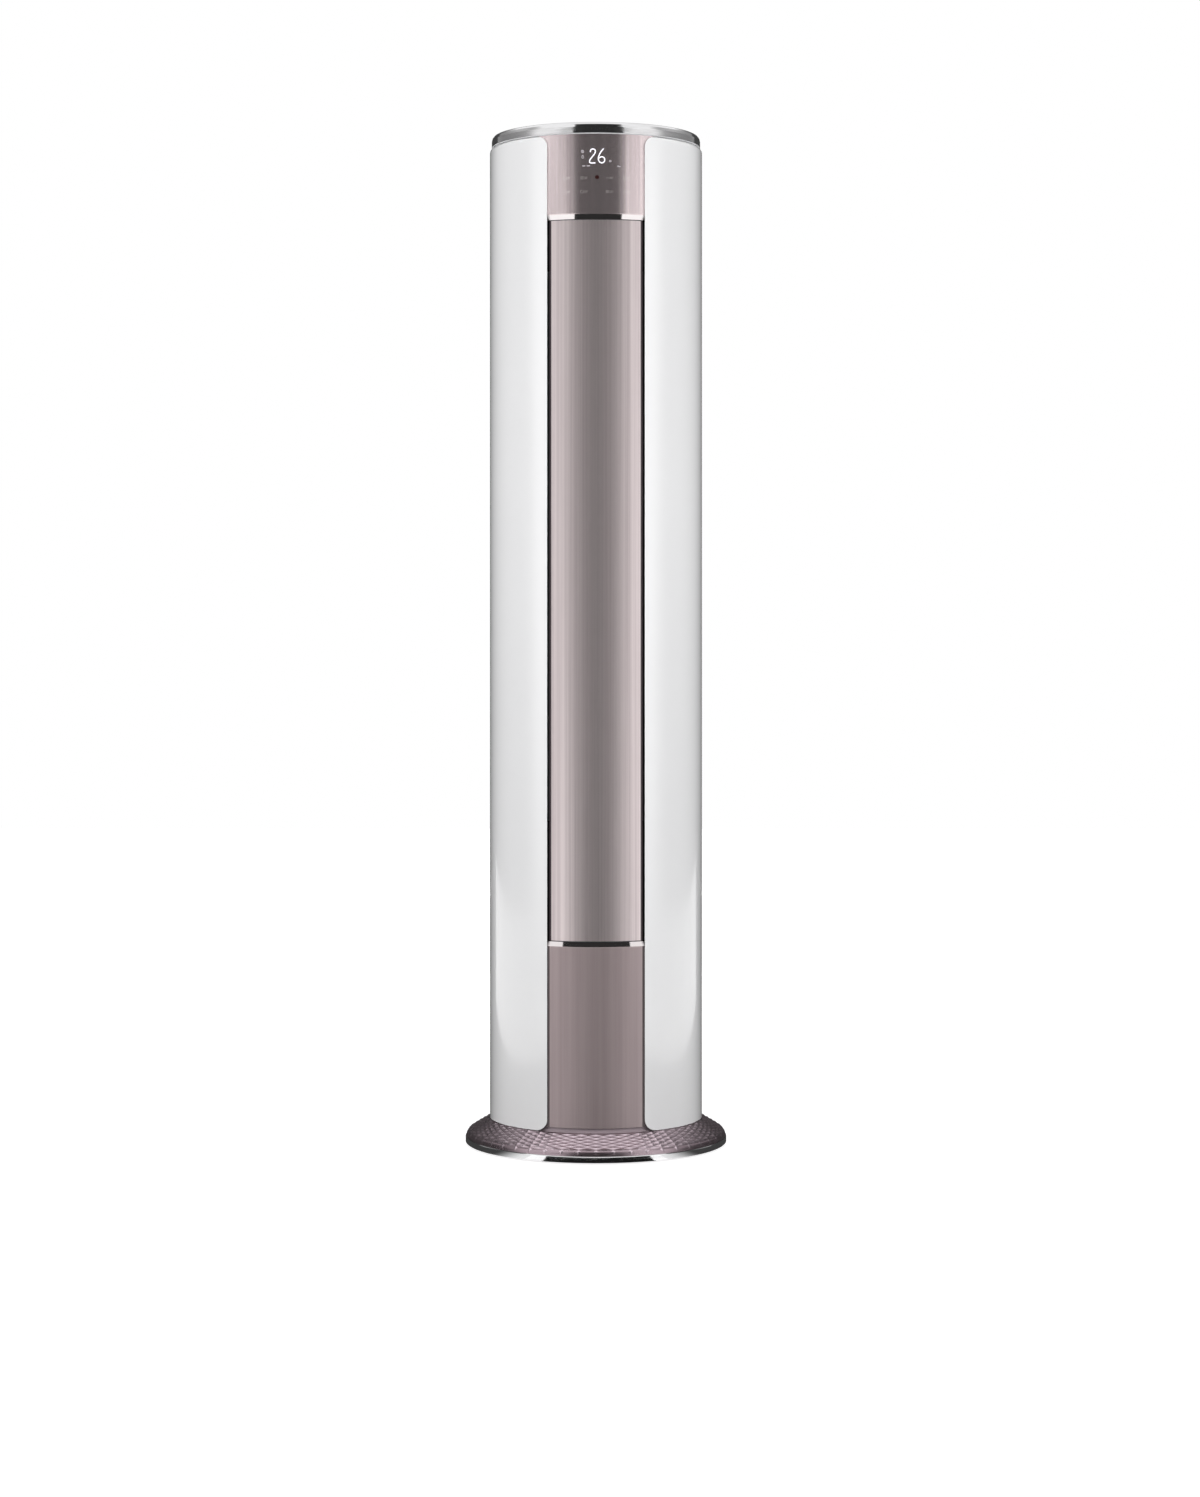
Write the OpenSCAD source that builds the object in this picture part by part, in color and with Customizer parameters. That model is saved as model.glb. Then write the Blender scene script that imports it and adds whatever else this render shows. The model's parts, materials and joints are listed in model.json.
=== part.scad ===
// Round floor standing air conditioner.
// An arc door slides round the column behind the left side panel and opens the air outlet.
// Frame: origin on the floor under the column's axis, +Z up, the front faces -Y.
// Azimuths are counted from the front: positive towards +X, 180 at the back.

/* [Overall] */
// Height from the floor to the top of the trim ring
total_h = 1780; // [1740:1:1860]
// Diameter across the side panels
body_d = 376; // [372:1:400]
// Diameter of the foot
base_d = 462; // [440:1:500]
// Height of the side panels' lower edge above the floor
base_h = 47; // [46:0.5:56]

/* [Casing] */
// Wall of the side panels and the rear casing
skin_t = 3; // [2.6:0.1:3.4]
// Clear width between the side panels' front edges
front_w = 168; // [162:0.5:174]
// Corner radius of the side panels beside the front column
panel_corner_r = 20; // [12:1:24]
// Radius of the shoulder at the top of the casing
shoulder_r = 8; // [6:0.5:10]
// Azimuth at which the side panels end at the back
side_end_az = 128; // [126:0.5:130]
// Wall of the display panel and the lower front panel
fascia_t = 2.5; // [2.2:0.1:2.8]
// Height of the bright chamfer on the edges of both panels beside the door
lip_h = 9.7; // [7:0.1:12]
// Height of the trim ring round the top
trim_h = 19; // [16:1:22]
// Radial width of the trim ring
trim_w = 8.5; // [7:0.5:8.5]
// Height of the display panel above the door's slot
display_h = 145.5; // [138:0.5:152]

/* [Door] */
// Height of the door's lower edge above the floor
door_bottom = 374.5; // [366:0.5:390]
// Width across the door's edges
door_w = 160; // [154:0.5:162]
// Aluminium skin of the door
door_skin_t = 1.2; // [1:0.1:1.4]
// Depth of the ribbed liner behind the skin
liner_t = 4.8; // [4.6:0.1:5]
// Angle that the door turns through from shut to open
door_travel = 54; // [53:0.5:55]
// Module of the door's rack and pinion
gear_module = 1.5; // [1.4:0.1:1.6]
// Teeth on the door's pinion
pinion_teeth = 16; // [15:1:17]

/* [Air outlet] */
// Width of the outlet window
window_w = 150; // [144:1:152]
// Distance from the door's lower edge up to the window
window_sill = 208.5; // [200:0.5:216]
// Distance from the door's upper edge down to the window
window_head = 89; // [80:0.5:98]
// Fixed bars across the window
crossbar_count = 5; // [3:2:5]
// Wall of the outlet frame and its cheeks
frame_t = 3; // [2.5:0.1:3.5]
// Chord of a swing vane
vane_chord = 36; // [30:1:38]
// Greatest thickness of a vane or a louvre
blade_t = 3; // [2.6:0.1:3.4]
// Chord of a tilting louvre
louvre_chord = 40; // [36:1:42]
// Radius of the pins that the vanes and louvres turn on
pivot_r = 2.5; // [2.2:0.1:2.8]
// Distance from a vane's axis to its link pin
vane_crank = 14; // [13:0.5:15]
// Distance from a louvre's axis to its link pin
louvre_crank = 26; // [25.5:0.5:28]
// Radius of the link pins
link_pin_r = 1.5; // [1.3:0.1:1.7]

/* [Fan] */
// Radius of the cross-flow wheel
fan_r = 56; // [52:0.5:58]
// Blades round the wheel
fan_blades = 24; // [18:1:30]
// Sections along the wheel
fan_sections = 7; // [5:1:9]
// Radius of the fan's shaft
shaft_r = 4; // [3.5:0.1:5]
// Radius of the fan motor
motor_r = 46; // [40:1:50]
// Height of the fan motor
motor_h = 62; // [50:1:70]

/* [Coil] */
// Radial depth of the evaporator coil
coil_t = 26; // [22:1:30]
// Azimuth of the coil's two front ends
coil_end_az = 75; // [74:0.5:78]
// Radius of the coil's tubes
tube_r = 4; // [3.5:0.1:4.5]
// Rows of tubes up the coil
tube_rows = 20; // [14:1:24]

/* [Intake] */
// Half the angle of the intake window at the back
intake_half_az = 44; // [40:0.5:45]
// Slots across the intake grille
slot_columns = 16; // [12:2:20]
// Rows of slots up the intake grille
slot_rows = 6; // [4:1:8]

/* [Foot] */
// Height of the bright rim round the foot
rim_h = 11; // [9:0.5:12]
// Radius of the rounding at the foot's outer edge
foot_round_r = 13; // [11:0.5:15]
// Slope of the foot's upper face
foot_slope = 25.5; // [22:0.5:27]
// Sheet of the base plate
base_plate_t = 3; // [2:0.5:4]
// Circle on which the floor anchor holes lie
anchor_pcd = 300; // [290:5:310]
// Radius of a floor anchor hole
anchor_hole_r = 5; // [4:0.5:6]

/* [Services] */
// Radius of the pipe outlet at the back
outlet_r = 32; // [28:1:36]
// Height of the pipe outlet's centre above the floor
outlet_z = 150; // [140:1:170]
// Radius of the suction pipe
suction_r = 6.35; // [5:0.05:7.5]
// Radius of the liquid pipe
liquid_r = 3.2; // [3:0.05:4.8]

/* [Hidden] */
$fn = 72;

seat = 0.3;          // gap between two pieces that are fitted together
slide_gap = 0.4;     // gap beside a piece that slides
pivot_gap = 0.05;    // radial clearance of a pin in its hole
link_gap = 0.1;      // radial clearance of a link pin
over = 1;            // how far a cut runs past the face that it cuts
sheet_t = 2;         // sheet of the shelves, the uprights and the duct walls

// Radii, from the skin inwards
body_r = body_d / 2;
skin_in = body_r - skin_t;
fascia_r = skin_in - slide_gap;
fascia_in = fascia_r - fascia_t;
door_r = fascia_in - 0.6;
liner_r = door_r - door_skin_t - 0.2;
liner_in = liner_r - liner_t;
tongue_r = liner_in + 3.7;
tongue_t = 2;
tongue_in = tongue_r - tongue_t;
frame_r = liner_in - 4.3;
frame_in = frame_r - frame_t;
front_r = fascia_in - seat;      // reach of the shelves behind the fixed panels
shelf_r = skin_in - seat;        // reach of the shelves behind the casing
plinth_r = skin_in - 5;

// Heights
trim_bottom = total_h - trim_h;
side_top = trim_bottom - 2;
display_bottom = side_top - display_h;
door_top = display_bottom - 1.5;
door_h = door_top - door_bottom;
lower_panel_top = door_bottom - 1.5;
lower_panel_z = base_h + 7;
window_bottom = door_bottom + window_sill;
window_top = door_top - window_head;
window_h = window_top - window_bottom;
crossbar_pitch = window_h / (crossbar_count + 0.25);
base_plate_z = 8;
plate_top = base_plate_z + base_plate_t;
rail_shelf_z = lower_panel_top - 38;
rail_shelf_top = rail_shelf_z + sheet_t;
coil_shelf_z = window_bottom - 35;
coil_shelf_top = coil_shelf_z + sheet_t;
motor_plate_z = window_top + frame_t;
motor_plate_top = motor_plate_z + sheet_t;
top_shelf_z = display_bottom + 31.5;
top_shelf_top = top_shelf_z + sheet_t;
cover_z = total_h - 15;

// Plan positions
window_x = window_w / 2;
cheek_x = window_x + frame_t;
door_half_az = asin(door_w / 2 / door_r);
frame_az = door_half_az + 4.85;
vane_axis_r = frame_in - 26;
vane_count = 4;
vane_step_az = 14;
louvre_count = 8;
louvre_pitch = window_h / louvre_count;
louvre_y = -(vane_axis_r * cos(1.5 * vane_step_az) - vane_chord / 2 - 6.5 - louvre_chord / 2);
cheek_back = louvre_y + louvre_chord / 2;
fan_y = cheek_back + 20 + fan_r;
coil_r = body_r - 50;
coil_in = coil_r - coil_t;
open_az = door_half_az + door_travel + 4;
post_x = coil_r + 8;
post_w = 20;
post_y = [-12, 28];

function at(r, az) = [r * sin(az), -r * cos(az)];
function vane_axis(i) = at(vane_axis_r, (i - (vane_count - 1) / 2) * vane_step_az);
function louvre_z(j) = window_bottom + (j + 0.5) * louvre_pitch;
function flip(p) = [-p[0], p[1]];

// A curved wall: a sector of a tube between two azimuths and two heights.
module sector(r0, r1, az0, az1, z0, z1)
    rotate_extrude(angle = az1 - az0, start = az0 - 90)
        translate([r0, z0]) square([r1 - r0, z1 - z0]);

// A full tube wall.
module tube(r0, r1, z0, z1) translate([0, 0, z0]) difference() {
    cylinder(h = z1 - z0, r = r1);
    translate([0, 0, -over]) cylinder(h = z1 - z0 + 2 * over, r = r0);
}

// A rod along +Z from a point.
module rod(p, z0, z1, r) translate([p[0], p[1], z0]) cylinder(h = z1 - z0, r = r);

// A drill along the radius at an azimuth and a height.
module radial(az, z, r0, r1, r) rotate([0, 0, az - 90]) translate([r0, 0, z])
    rotate([0, 90, 0]) cylinder(h = r1 - r0, r = r);

// A 2-D strip of width t from a to b, for walls and links seen in plan.
module strip(a, b, t) {
    run = b - a;
    translate(a) rotate(atan2(run[1], run[0])) translate([0, -t / 2]) square([norm(run), t]);
}

// A bent sheet of thickness t seen in plan, along the line through the points.
function heading(p, i) = p[min(i + 1, len(p) - 1)] - p[max(i - 1, 0)];
function beside(p, i, w) = p[i] + w * [-heading(p, i)[1], heading(p, i)[0]] / norm(heading(p, i));
module bent(points, t) {
    last = len(points) - 1;
    polygon(concat([for (i = [0 : last]) beside(points, i, -t / 2)],
        [for (i = [last : -1 : 0]) beside(points, i, t / 2)]));
}

// A thin lens seen end on: the section of every vane and louvre.
module lens(chord, t) {
    r = (chord * chord + t * t) / (4 * t);
    intersection() {
        translate([0, r - t / 2]) circle(r, $fn = 1440);
        translate([0, t / 2 - r]) circle(r, $fn = 1440);
    }
}

// The space that a side panel's rounded corner leaves beside the front column, seen from
// the front. grow draws it in from the corner's curve.
module corner_flare(side, end, grow) {
    r = panel_corner_r;
    x = side * front_w / 2;
    z = end < 0 ? base_h : side_top;
    difference() {
        translate([side < 0 ? x - r : x - over, end < 0 ? z : z - r]) square([r + over, r]);
        translate([x + side * r, z - end * r]) circle(r + grow);
    }
}

// What the front column takes out of the side panels.
module front_slot() rotate([90, 0, 0]) linear_extrude(body_r + over) {
    translate([-front_w / 2, base_h - over]) square([front_w, side_top - base_h + 2 * over]);
    for (side = [-1, 1], end = [-1, 1]) corner_flare(side, end, 0);
}

// Section of the casing wall, with the rounded shoulder that turns in at the top.
module casing_section() {
    turn = side_top - shoulder_r;
    translate([skin_in, base_h]) square([skin_t, turn - base_h]);
    translate([body_r - shoulder_r, turn]) intersection() {
        difference() {
            circle(shoulder_r);
            circle(shoulder_r - skin_t);
        }
        square(shoulder_r + over);
    }
    translate([body_r - shoulder_r - 2, side_top - skin_t]) square([2.01, skin_t]);
}

module casing_sector(az0, az1)
    rotate_extrude(angle = az1 - az0, start = az0 - 90) casing_section();

// Screws hold each side panel's rear edge to the rear casing's joggle.
screw_az = side_end_az - 3;
screw_low = base_h + 43;
screw_high = side_top - 59;
screw_z = [for (k = [0 : 5]) screw_low + k * (screw_high - screw_low) / 5];
screw_r = 1.8;
module at_screws() for (side = [-1, 1], z = screw_z) rotate([0, 0, side * screw_az - 90])
    translate([0, 0, z]) rotate([0, 90, 0]) children();

module side_panel() difference() {
    casing_sector(15, side_end_az);
    front_slot();
    at_screws() translate([0, 0, skin_in - over]) cylinder(h = skin_t + 2 * over, r = screw_r + 0.2);
}

module left_side_panel() color("white") mirror([1, 0, 0]) side_panel();

module right_side_panel() color("white") side_panel();

// Back shell with joggled edges under the side panels, the intake window, the pipe outlet
// and the cable hole.
intake_z0 = coil_shelf_top + 12;
intake_z1 = motor_plate_z - 12;
gland_az = 205;
gland_r = 7.7;
module rear_casing() color("white") difference() {
    edge = side_end_az + 0.2;
    joggle_r = skin_in - seat;
    union() {
        casing_sector(edge, 360 - edge);
        for (start = [edge - 6, 360 - edge - 3])
            sector(joggle_r - 3, joggle_r, start, start + 9, plinth_r / 2, side_top - shoulder_r - 4);
        for (start = [edge + 0.1, 360 - edge - 2.6])
            sector(joggle_r - 1, skin_in + 1, start, start + 2.5, plinth_r / 2, side_top - shoulder_r - 4);
    }
    sector(skin_in - 8, body_r + 8, 180 - intake_half_az, 180 + intake_half_az, intake_z0, intake_z1);
    translate([0, skin_in - 20, outlet_z]) rotate([-90, 0, 0]) cylinder(h = 40, r = outlet_r + 3);
    radial(gland_az, outlet_z, skin_in - 5, body_r + 5, gland_r + 0.2);
    at_screws() translate([0, 0, joggle_r - 4]) cylinder(h = 6, r = screw_r + 0.1);
}

// Recessed cover whose flange lies between the shoulder and the trim ring.
module top_cover() color("lightgray") {
    dish_r = fascia_r - trim_w - seat;
    rod([0, 0], cover_z, cover_z + 3, dish_r);
    tube(dish_r - 3, dish_r, cover_z - 20, cover_z + 1);
    tube(dish_r - 1, fascia_r - 0.6, side_top + seat, trim_bottom);
}

module top_trim_ring() color("silver") rotate_extrude() {
    inner = fascia_r - trim_w;
    polygon([[inner, trim_bottom], [fascia_r, trim_bottom], [fascia_r, trim_bottom + trim_h * 0.55],
        [fascia_r - 1, total_h - 4], [fascia_r - 3.5, total_h - 0.8], [fascia_r - 5, total_h],
        [inner + 1.5, total_h], [inner, total_h - 1.5]]);
}

// Section of a curved front panel with a bright chamfer on the edge beside the door, which
// is its upper edge for side = 1 and its lower edge for side = -1.
lip_r = fascia_r - 3.1;
lip_in = lip_r - 1.9;
function fascia_section(far, lip, side) = [[fascia_in, far], [fascia_r, far],
    [fascia_r, lip - side * lip_h], [lip_r, lip], [lip_in, lip],
    [lip_in, lip - side * 2], [fascia_in, lip - side * (lip_h + 2)]];
module fascia(far, lip, side) rotate_extrude(angle = 80, start = -130) {
    points = fascia_section(far, lip, side);
    polygon([for (i = [0 : 6]) points[side > 0 ? i : 6 - i]]);
}

// The front panels' outline, seen from the front: a little wider than the slot, with wings
// that fill the side panels' rounded corners.
module fascia_outline(z0, z1, end) rotate([90, 0, 0]) linear_extrude(body_r + over) {
    clear = shoulder_r + 1;
    low = end > 0 ? z0 - over : z0 + clear;
    high = end > 0 ? z1 - clear : z1 + over;
    translate([-front_w / 2 - 3.5, low]) square([front_w + 7, high - low]);
    translate([-front_w / 2 + seat, z0 - over]) square([front_w - 2 * seat, z1 - z0 + 2 * over]);
    for (side = [-1, 1]) corner_flare(side, end, seat);
}

module display_panel() color("rosybrown") intersection() {
    fascia(side_top, display_bottom, -1);
    fascia_outline(display_bottom, side_top, 1);
}

module lower_front_panel() color("rosybrown") intersection() {
    fascia(lower_panel_z, lower_panel_top, 1);
    fascia_outline(lower_panel_z, lower_panel_top, -1);
}

// Circuit board behind the display, with two figures, a receiver and five touch pads.
board_x = 42;
module display_board() color("darkgreen") {
    back = sqrt(pow(fascia_in, 2) - pow(board_x, 2)) - 1.7;
    z0 = top_shelf_top + 6;
    translate([-board_x, -back, z0]) cube([2 * board_x, 1.6, side_top - 16 - z0]);
    for (side = [-1, 1], z = [z0 + 6, side_top - 24])
        translate([side * (board_x - 4), -back + over / 2, z]) rotate([90, 0, 0])
            cylinder(h = 2, r = 3);
    for (side = [-1, 1]) translate([side * 8.5 - 7, -back - 3.5, side_top - 60])
        cube([14, 4, 30]);
    translate([-4, -back - 3.5, side_top - 78]) cube([8, 4, 8]);
    for (i = [-2 : 2]) translate([i * 12 - 4, -back - 2, side_top - 98]) cube([8, 2.5, 10]);
}

// Frame of the air outlet: the curved face behind the door, its window with fixed bars, the
// cheeks that carry the louvres, and the sill and head that carry the vanes.
module outlet_frame() color("dimgray") difference() {
    sill = window_bottom - frame_t;
    union() {
        difference() {
            sector(frame_in, frame_r, -frame_az, frame_az, rail_shelf_top, display_bottom + 0.5);
            translate([-window_x, -body_r, window_bottom]) cube([window_w, body_r - 100, window_h]);
        }
        for (k = [0 : crossbar_count - 1]) {
            z = window_bottom + window_h / 2 + (k - (crossbar_count - 1) / 2) * crossbar_pitch;
            sector(frame_in - 5, frame_r, -frame_az + 2, frame_az - 2, z - 1.5, z + 1.5);
        }
        intersection() {
            rod([0, 0], sill, motor_plate_z, frame_in + 1);
            union() {
                for (x = [-cheek_x, window_x]) translate([x, -body_r, sill])
                    cube([frame_t, body_r + cheek_back, motor_plate_z - sill]);
                for (z = [sill, window_top]) translate([-cheek_x, -body_r, z])
                    cube([2 * cheek_x, body_r + cheek_back, frame_t]);
            }
        }
        sector(frame_r - over, door_r - 1, door_half_az + 2.2, frame_az, door_bottom, door_top);
    }
    for (i = [0 : vane_count - 1]) rod(vane_axis(i), sill - over, motor_plate_z + over, pivot_r + pivot_gap);
    for (j = [0 : louvre_count - 1]) translate([-cheek_x - over, louvre_y, louvre_z(j)])
        rotate([0, 90, 0]) cylinder(h = 2 * cheek_x + 2 * over, r = pivot_r + pivot_gap);
}

// Pressed channel that ties the foot, the shelves and the cover together at one side.
module upright(side) {
    x = side < 0 ? -post_x - post_w : post_x;
    wall = side < 0 ? x : x + post_w - sheet_t;
    depth = post_y[1] - post_y[0];
    translate([wall, post_y[0], plate_top]) cube([sheet_t, depth, cover_z - plate_top]);
    for (y = [post_y[0], post_y[1] - sheet_t])
        translate([x, y, plate_top]) cube([post_w, sheet_t, cover_z - plate_top]);
}

module left_upright() color("darkgray") upright(-1);

module right_upright() color("darkgray") upright(1);

// A sheet shelf with notches for the uprights. Where the door runs, it stays within front.
module shelf(z, front, az0, az1) difference() {
    rod([0, 0], z, z + sheet_t, shelf_r);
    sector(front, body_r + over, az0, az1, z - over, z + sheet_t + over);
    for (start = [side_end_az - 6.4, 360 - side_end_az - 3.6])
        sector(skin_in - 3.6, body_r + over, start, start + 10, z - over, z + sheet_t + over);
    for (side = [-1, 1])
        translate([side * (post_x + post_w / 2) - post_w / 2 - seat, post_y[0] - seat, z - over])
            cube([post_w + 2 * seat, post_y[1] - post_y[0] + 2 * seat, sheet_t + 2 * over]);
}

suction_at = [118, -66];
liquid_at = [142, -50];
drain_at = at(coil_r - coil_t / 2, 150);
drain_pipe_r = 8;
module service_holes(z) {
    rod(suction_at, z - over, z + sheet_t + over, suction_r + 1);
    rod(liquid_at, z - over, z + sheet_t + over, liquid_r + 1);
    rod(drain_at, z - over, z + sheet_t + over, drain_pipe_r + seat);
}

module rail_shelf() color("darkgray") difference() {
    shelf(rail_shelf_z, front_r, -40, 40);
    service_holes(rail_shelf_z);
}

module coil_shelf() color("darkgray") difference() {
    shelf(coil_shelf_z, frame_in - seat, -open_az, frame_az + 2);
    service_holes(coil_shelf_z);
}

module motor_plate() color("darkgray") difference() {
    shelf(motor_plate_z, frame_in - seat, -open_az, frame_az + 2);
    rod([0, fan_y], motor_plate_z - over, motor_plate_top + over, shaft_r + 6);
}

module top_shelf() color("darkgray") difference() {
    shelf(top_shelf_z, front_r, -40, 40);
    rod(pinion_at, top_shelf_z - over, top_shelf_top + over, 6);
}

// Arc channels that the door's tongues run in.
module door_rail(z0, roof, z1) {
    low = min(z0, roof);
    high = max(z0, roof);
    sector(tongue_r + slide_gap, tongue_r + 2, -open_az, door_half_az + 1.5, low, high);
    sector(tongue_in - 2, tongue_in - slide_gap, -open_az, door_half_az + 1.5, low, high);
    sector(tongue_in - 2, tongue_r + 2, -open_az, door_half_az + 1.5, min(roof, z1), max(roof, z1));
}

module door_rail_top() color("whitesmoke") door_rail(top_shelf_z - 10, top_shelf_z - 2.5, top_shelf_z);

module door_rail_bottom() color("whitesmoke")
    door_rail(rail_shelf_top + 14, rail_shelf_top + 2.5, rail_shelf_top);

// Duct walls, from the outlet's cheeks to the coil's ends. The left one is the scroll round
// the wheel, and the right one comes close to it.
function fan_polar(r, az) = [0, fan_y] + at(r, az);
module duct_wall(points) translate([0, 0, coil_shelf_top])
    linear_extrude(motor_plate_z - coil_shelf_top) bent(points, sheet_t);

scroll_start = [-cheek_x + frame_t / 2, cheek_back + 1.3];
coil_left_end = at(coil_in - 1.3, -coil_end_az - 1);
// Clear space round the drain pan's inner wall, which the duct walls step over.
module pan_step() sector(coil_in - 5.4, coil_in + 1, coil_end_az - 5, 365 - coil_end_az,
    coil_shelf_top - over, coil_shelf_top + 10.3);

module scroll_wall() color("gainsboro") difference() {
    union() {
        duct_wall(concat([scroll_start],
            [for (az = [-52 : -12 : -136]) fan_polar(105 + (az + 52) * 0.5, az)]));
        duct_wall([fan_polar(105 - 12, -76), coil_left_end]);
    }
    pan_step();
}

module tongue_wall() color("gainsboro") difference() {
    duct_wall([flip(scroll_start), fan_polar(fan_r + 10, 56), fan_polar(fan_r + 6, 72),
        flip(coil_left_end)]);
    pan_step();
}

// Evaporator: a fin pack bent round the wheel between two tube plates, with tube ends
// joined by return bends.
coil_z0 = coil_shelf_top + 3;
coil_z1 = motor_plate_z - seat;
tube_pitch = (coil_z1 - coil_z0) / tube_rows;
function tube_z(k) = coil_z0 + (k + 0.5) * tube_pitch;
plate_az = 0.6;
fin_rows = 2 * tube_rows - 1;
fin_depth = 0.8;
function fin_z(k) = coil_z0 + k * tube_pitch / 2;
function comb_side(r, step) = [for (k = [1 : fin_rows])
    each [[r, fin_z(k) - 1], [r + step, fin_z(k) - 1], [r + step, fin_z(k) + 1], [r, fin_z(k) + 1]]];
function turned(points) = [for (i = [len(points) - 1 : -1 : 0]) points[i]];
module evaporator_coil() color("silver") {
    span = 360 - 2 * coil_end_az - 2 * plate_az;
    low = coil_z0 + 1;
    high = coil_z1 - 1;
    rotate_extrude(angle = span, start = coil_end_az + plate_az - 90)
        polygon(concat([[coil_in + 1, low], [coil_r - 1, low]], comb_side(coil_r - 1, fin_depth),
            [[coil_r - 1, high], [coil_in + 1, high]], turned(comb_side(coil_in + 1, -fin_depth))));
    for (start = [coil_end_az, 360 - coil_end_az - plate_az])
        sector(coil_in, coil_r, start, start + plate_az, coil_z0, coil_z1);
}

module evaporator_bends() color("peru") {
    bend_r = coil_t / 4;
    mid = coil_r - coil_t / 2;
    for (k = [0 : tube_rows - 1], side = [-1, 1])
        rotate([0, 0, side * coil_end_az - 90]) translate([mid, 0, tube_z(k)])
            rotate_extrude(angle = 180, start = side < 0 ? 0 : 180) translate([bend_r, 0]) circle(tube_r);
}

module drain_pan() color("whitesmoke") difference() {
    az0 = coil_end_az - 3;
    az1 = 360 - az0;
    union() {
        sector(coil_in - 5, coil_r + 5, az0, az1, coil_shelf_top, coil_shelf_top + 1.5);
        sector(coil_in - 5, coil_in - 3.5, az0, az1, coil_shelf_top, coil_shelf_top + 10);
        sector(coil_r + 3.5, coil_r + 5, az0, az1, coil_shelf_top, coil_shelf_top + 10);
        for (az = [az0 + 6 : 21 : az1 - 6])
            sector(coil_in - 4, coil_r + 4, az, az + 1, coil_shelf_top + 1, coil_z0);
    }
    rod(drain_at, coil_shelf_top - over, coil_shelf_top + 1.5 + over, drain_pipe_r - 2);
}

union_z = 150;
module drain_hose() color("lightgray") translate([drain_at[0], drain_at[1], 0])
    tube(drain_pipe_r - 1.6, drain_pipe_r, union_z + 50, coil_shelf_top);

// A copper pipe that rises, turns and enters the coil, with a union at its lower end.
module pipe(p, r, top, aim, bend, run) translate([p[0], p[1], 0]) rotate([0, 0, aim]) {
    rod([0, 0], union_z + 12, top, r);
    translate([bend, 0, top]) rotate([90, 0, 0])
        rotate_extrude(angle = 90, start = 90) translate([bend, 0]) circle(r);
    translate([bend, 0, top + bend]) rotate([0, 90, 0]) cylinder(h = run - bend, r = r);
    translate([0, 0, union_z + 14]) cylinder(h = 16, r = 2 * r, $fn = 6);
    rod([0, 0], union_z, union_z + 15, r + 1.6);
}

module refrigerant_pipes() color("peru") {
    top = tube_z(1) + tube_pitch / 2 - 14;
    pipe(suction_at, suction_r, top, 90, 14, 33.2);
    pipe(liquid_at, liquid_r, top + 4, 126.4, 10, 17.25);
}

module fan_motor() color("dimgray") difference() {
    union() {
        rod([0, fan_y], motor_plate_top, motor_plate_top + motor_h, motor_r);
        rod([0, fan_y], motor_plate_top, motor_plate_top + 3, motor_r + 8);
        rod([0, fan_y], motor_plate_top + motor_h - 1, motor_plate_top + motor_h + 6, 16);
    }
    rod([0, fan_y], motor_plate_top - over, motor_plate_top + 30, shaft_r + pivot_gap);
}

module fan_bearing() color("black") difference() {
    union() {
        rod([0, fan_y], coil_shelf_top, coil_shelf_top + 3, 18);
        rod([0, fan_y], coil_shelf_top, coil_shelf_top + 12, 9);
    }
    rod([0, fan_y], coil_shelf_top + 2, coil_shelf_top + 12 + over, shaft_r + pivot_gap);
}

// Geared stepper motor with its output along -Z at p.
module stepper(r, h) {
    rod([0, 0], 0, h, r);
    for (side = [-1, 1]) translate([side * (r + 1) - 3.5, -3.5, 0]) cube([7, 7, 1]);
}

pinion_r = gear_module * pinion_teeth / 2;
rack_pitch_r = tongue_in - 6;
pinion_az = -door_half_az - 3.35;
pinion_at = at(rack_pitch_r - pinion_r, pinion_az);
rack_z = door_top + 8;
rack_h = 10;
pinion_shaft_r = 3;
module door_motor() color("dimgray") difference() {
    translate([pinion_at[0], pinion_at[1], top_shelf_top]) rotate([0, 0, pinion_az]) stepper(17, 20);
    rod(pinion_at, top_shelf_top - over, top_shelf_top + 12, pinion_shaft_r + pivot_gap);
}

motor_louvre = 3;
module louvre_motor() color("dimgray")
    translate([cheek_x + seat, louvre_y, louvre_z(motor_louvre)]) rotate([0, 90, 0]) difference() {
        stepper(13, 18);
        translate([0, 0, -over]) cylinder(h = 6 + over, r = pivot_r + pivot_gap);
    }

module vane_motor() color("dimgray") translate([vane_axis(0)[0], vane_axis(0)[1], coil_shelf_top])
    difference() {
        stepper(12, 15);
        translate([0, 0, 9]) cylinder(h = 6 + over, r = pivot_r + pivot_gap);
    }

// Open-fronted box that stands on the base plate behind the lower front panel.
box_x = 66;
box_y = [-164, -112];
box_h = 250;
module control_box() color("lightgray") difference() {
    depth = box_y[1] - box_y[0];
    translate([-box_x, box_y[0], plate_top]) cube([2 * box_x, depth, box_h]);
    translate([-box_x + 1.5, box_y[0] - over, plate_top + 1.5])
        cube([2 * box_x - 3, depth - 1.5 + over, box_h - 3]);
    for (x = [-40 : 20 : 40]) translate([x - 2, box_y[0] + 10, plate_top - over + box_h - 2])
        cube([4, depth - 20, 4]);
}

module control_board() color("darkgreen") {
    face = box_y[1] - 8;
    translate([-box_x + 6, face, plate_top + 12]) cube([2 * box_x - 12, 1.6, box_h - 24]);
    for (x = [16 - box_x, box_x - 16], z = [24, box_h - 24])
        translate([x, face + 1, plate_top + z]) rotate([-90, 0, 0]) cylinder(h = 5.5, r = 3);
    translate([-44, face - 24, plate_top + 150]) cube([38, 25, 32]);
    translate([24, face + over / 2, plate_top + 170]) rotate([90, 0, 0]) cylinder(h = 30, r = 12);
    for (i = [0 : 2]) translate([-46 + i * 26, face - 15, plate_top + 96]) cube([19, 16, 15]);
    translate([-48, face - 17, plate_top + 30]) cube([96, 18, 22]);
}

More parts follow.
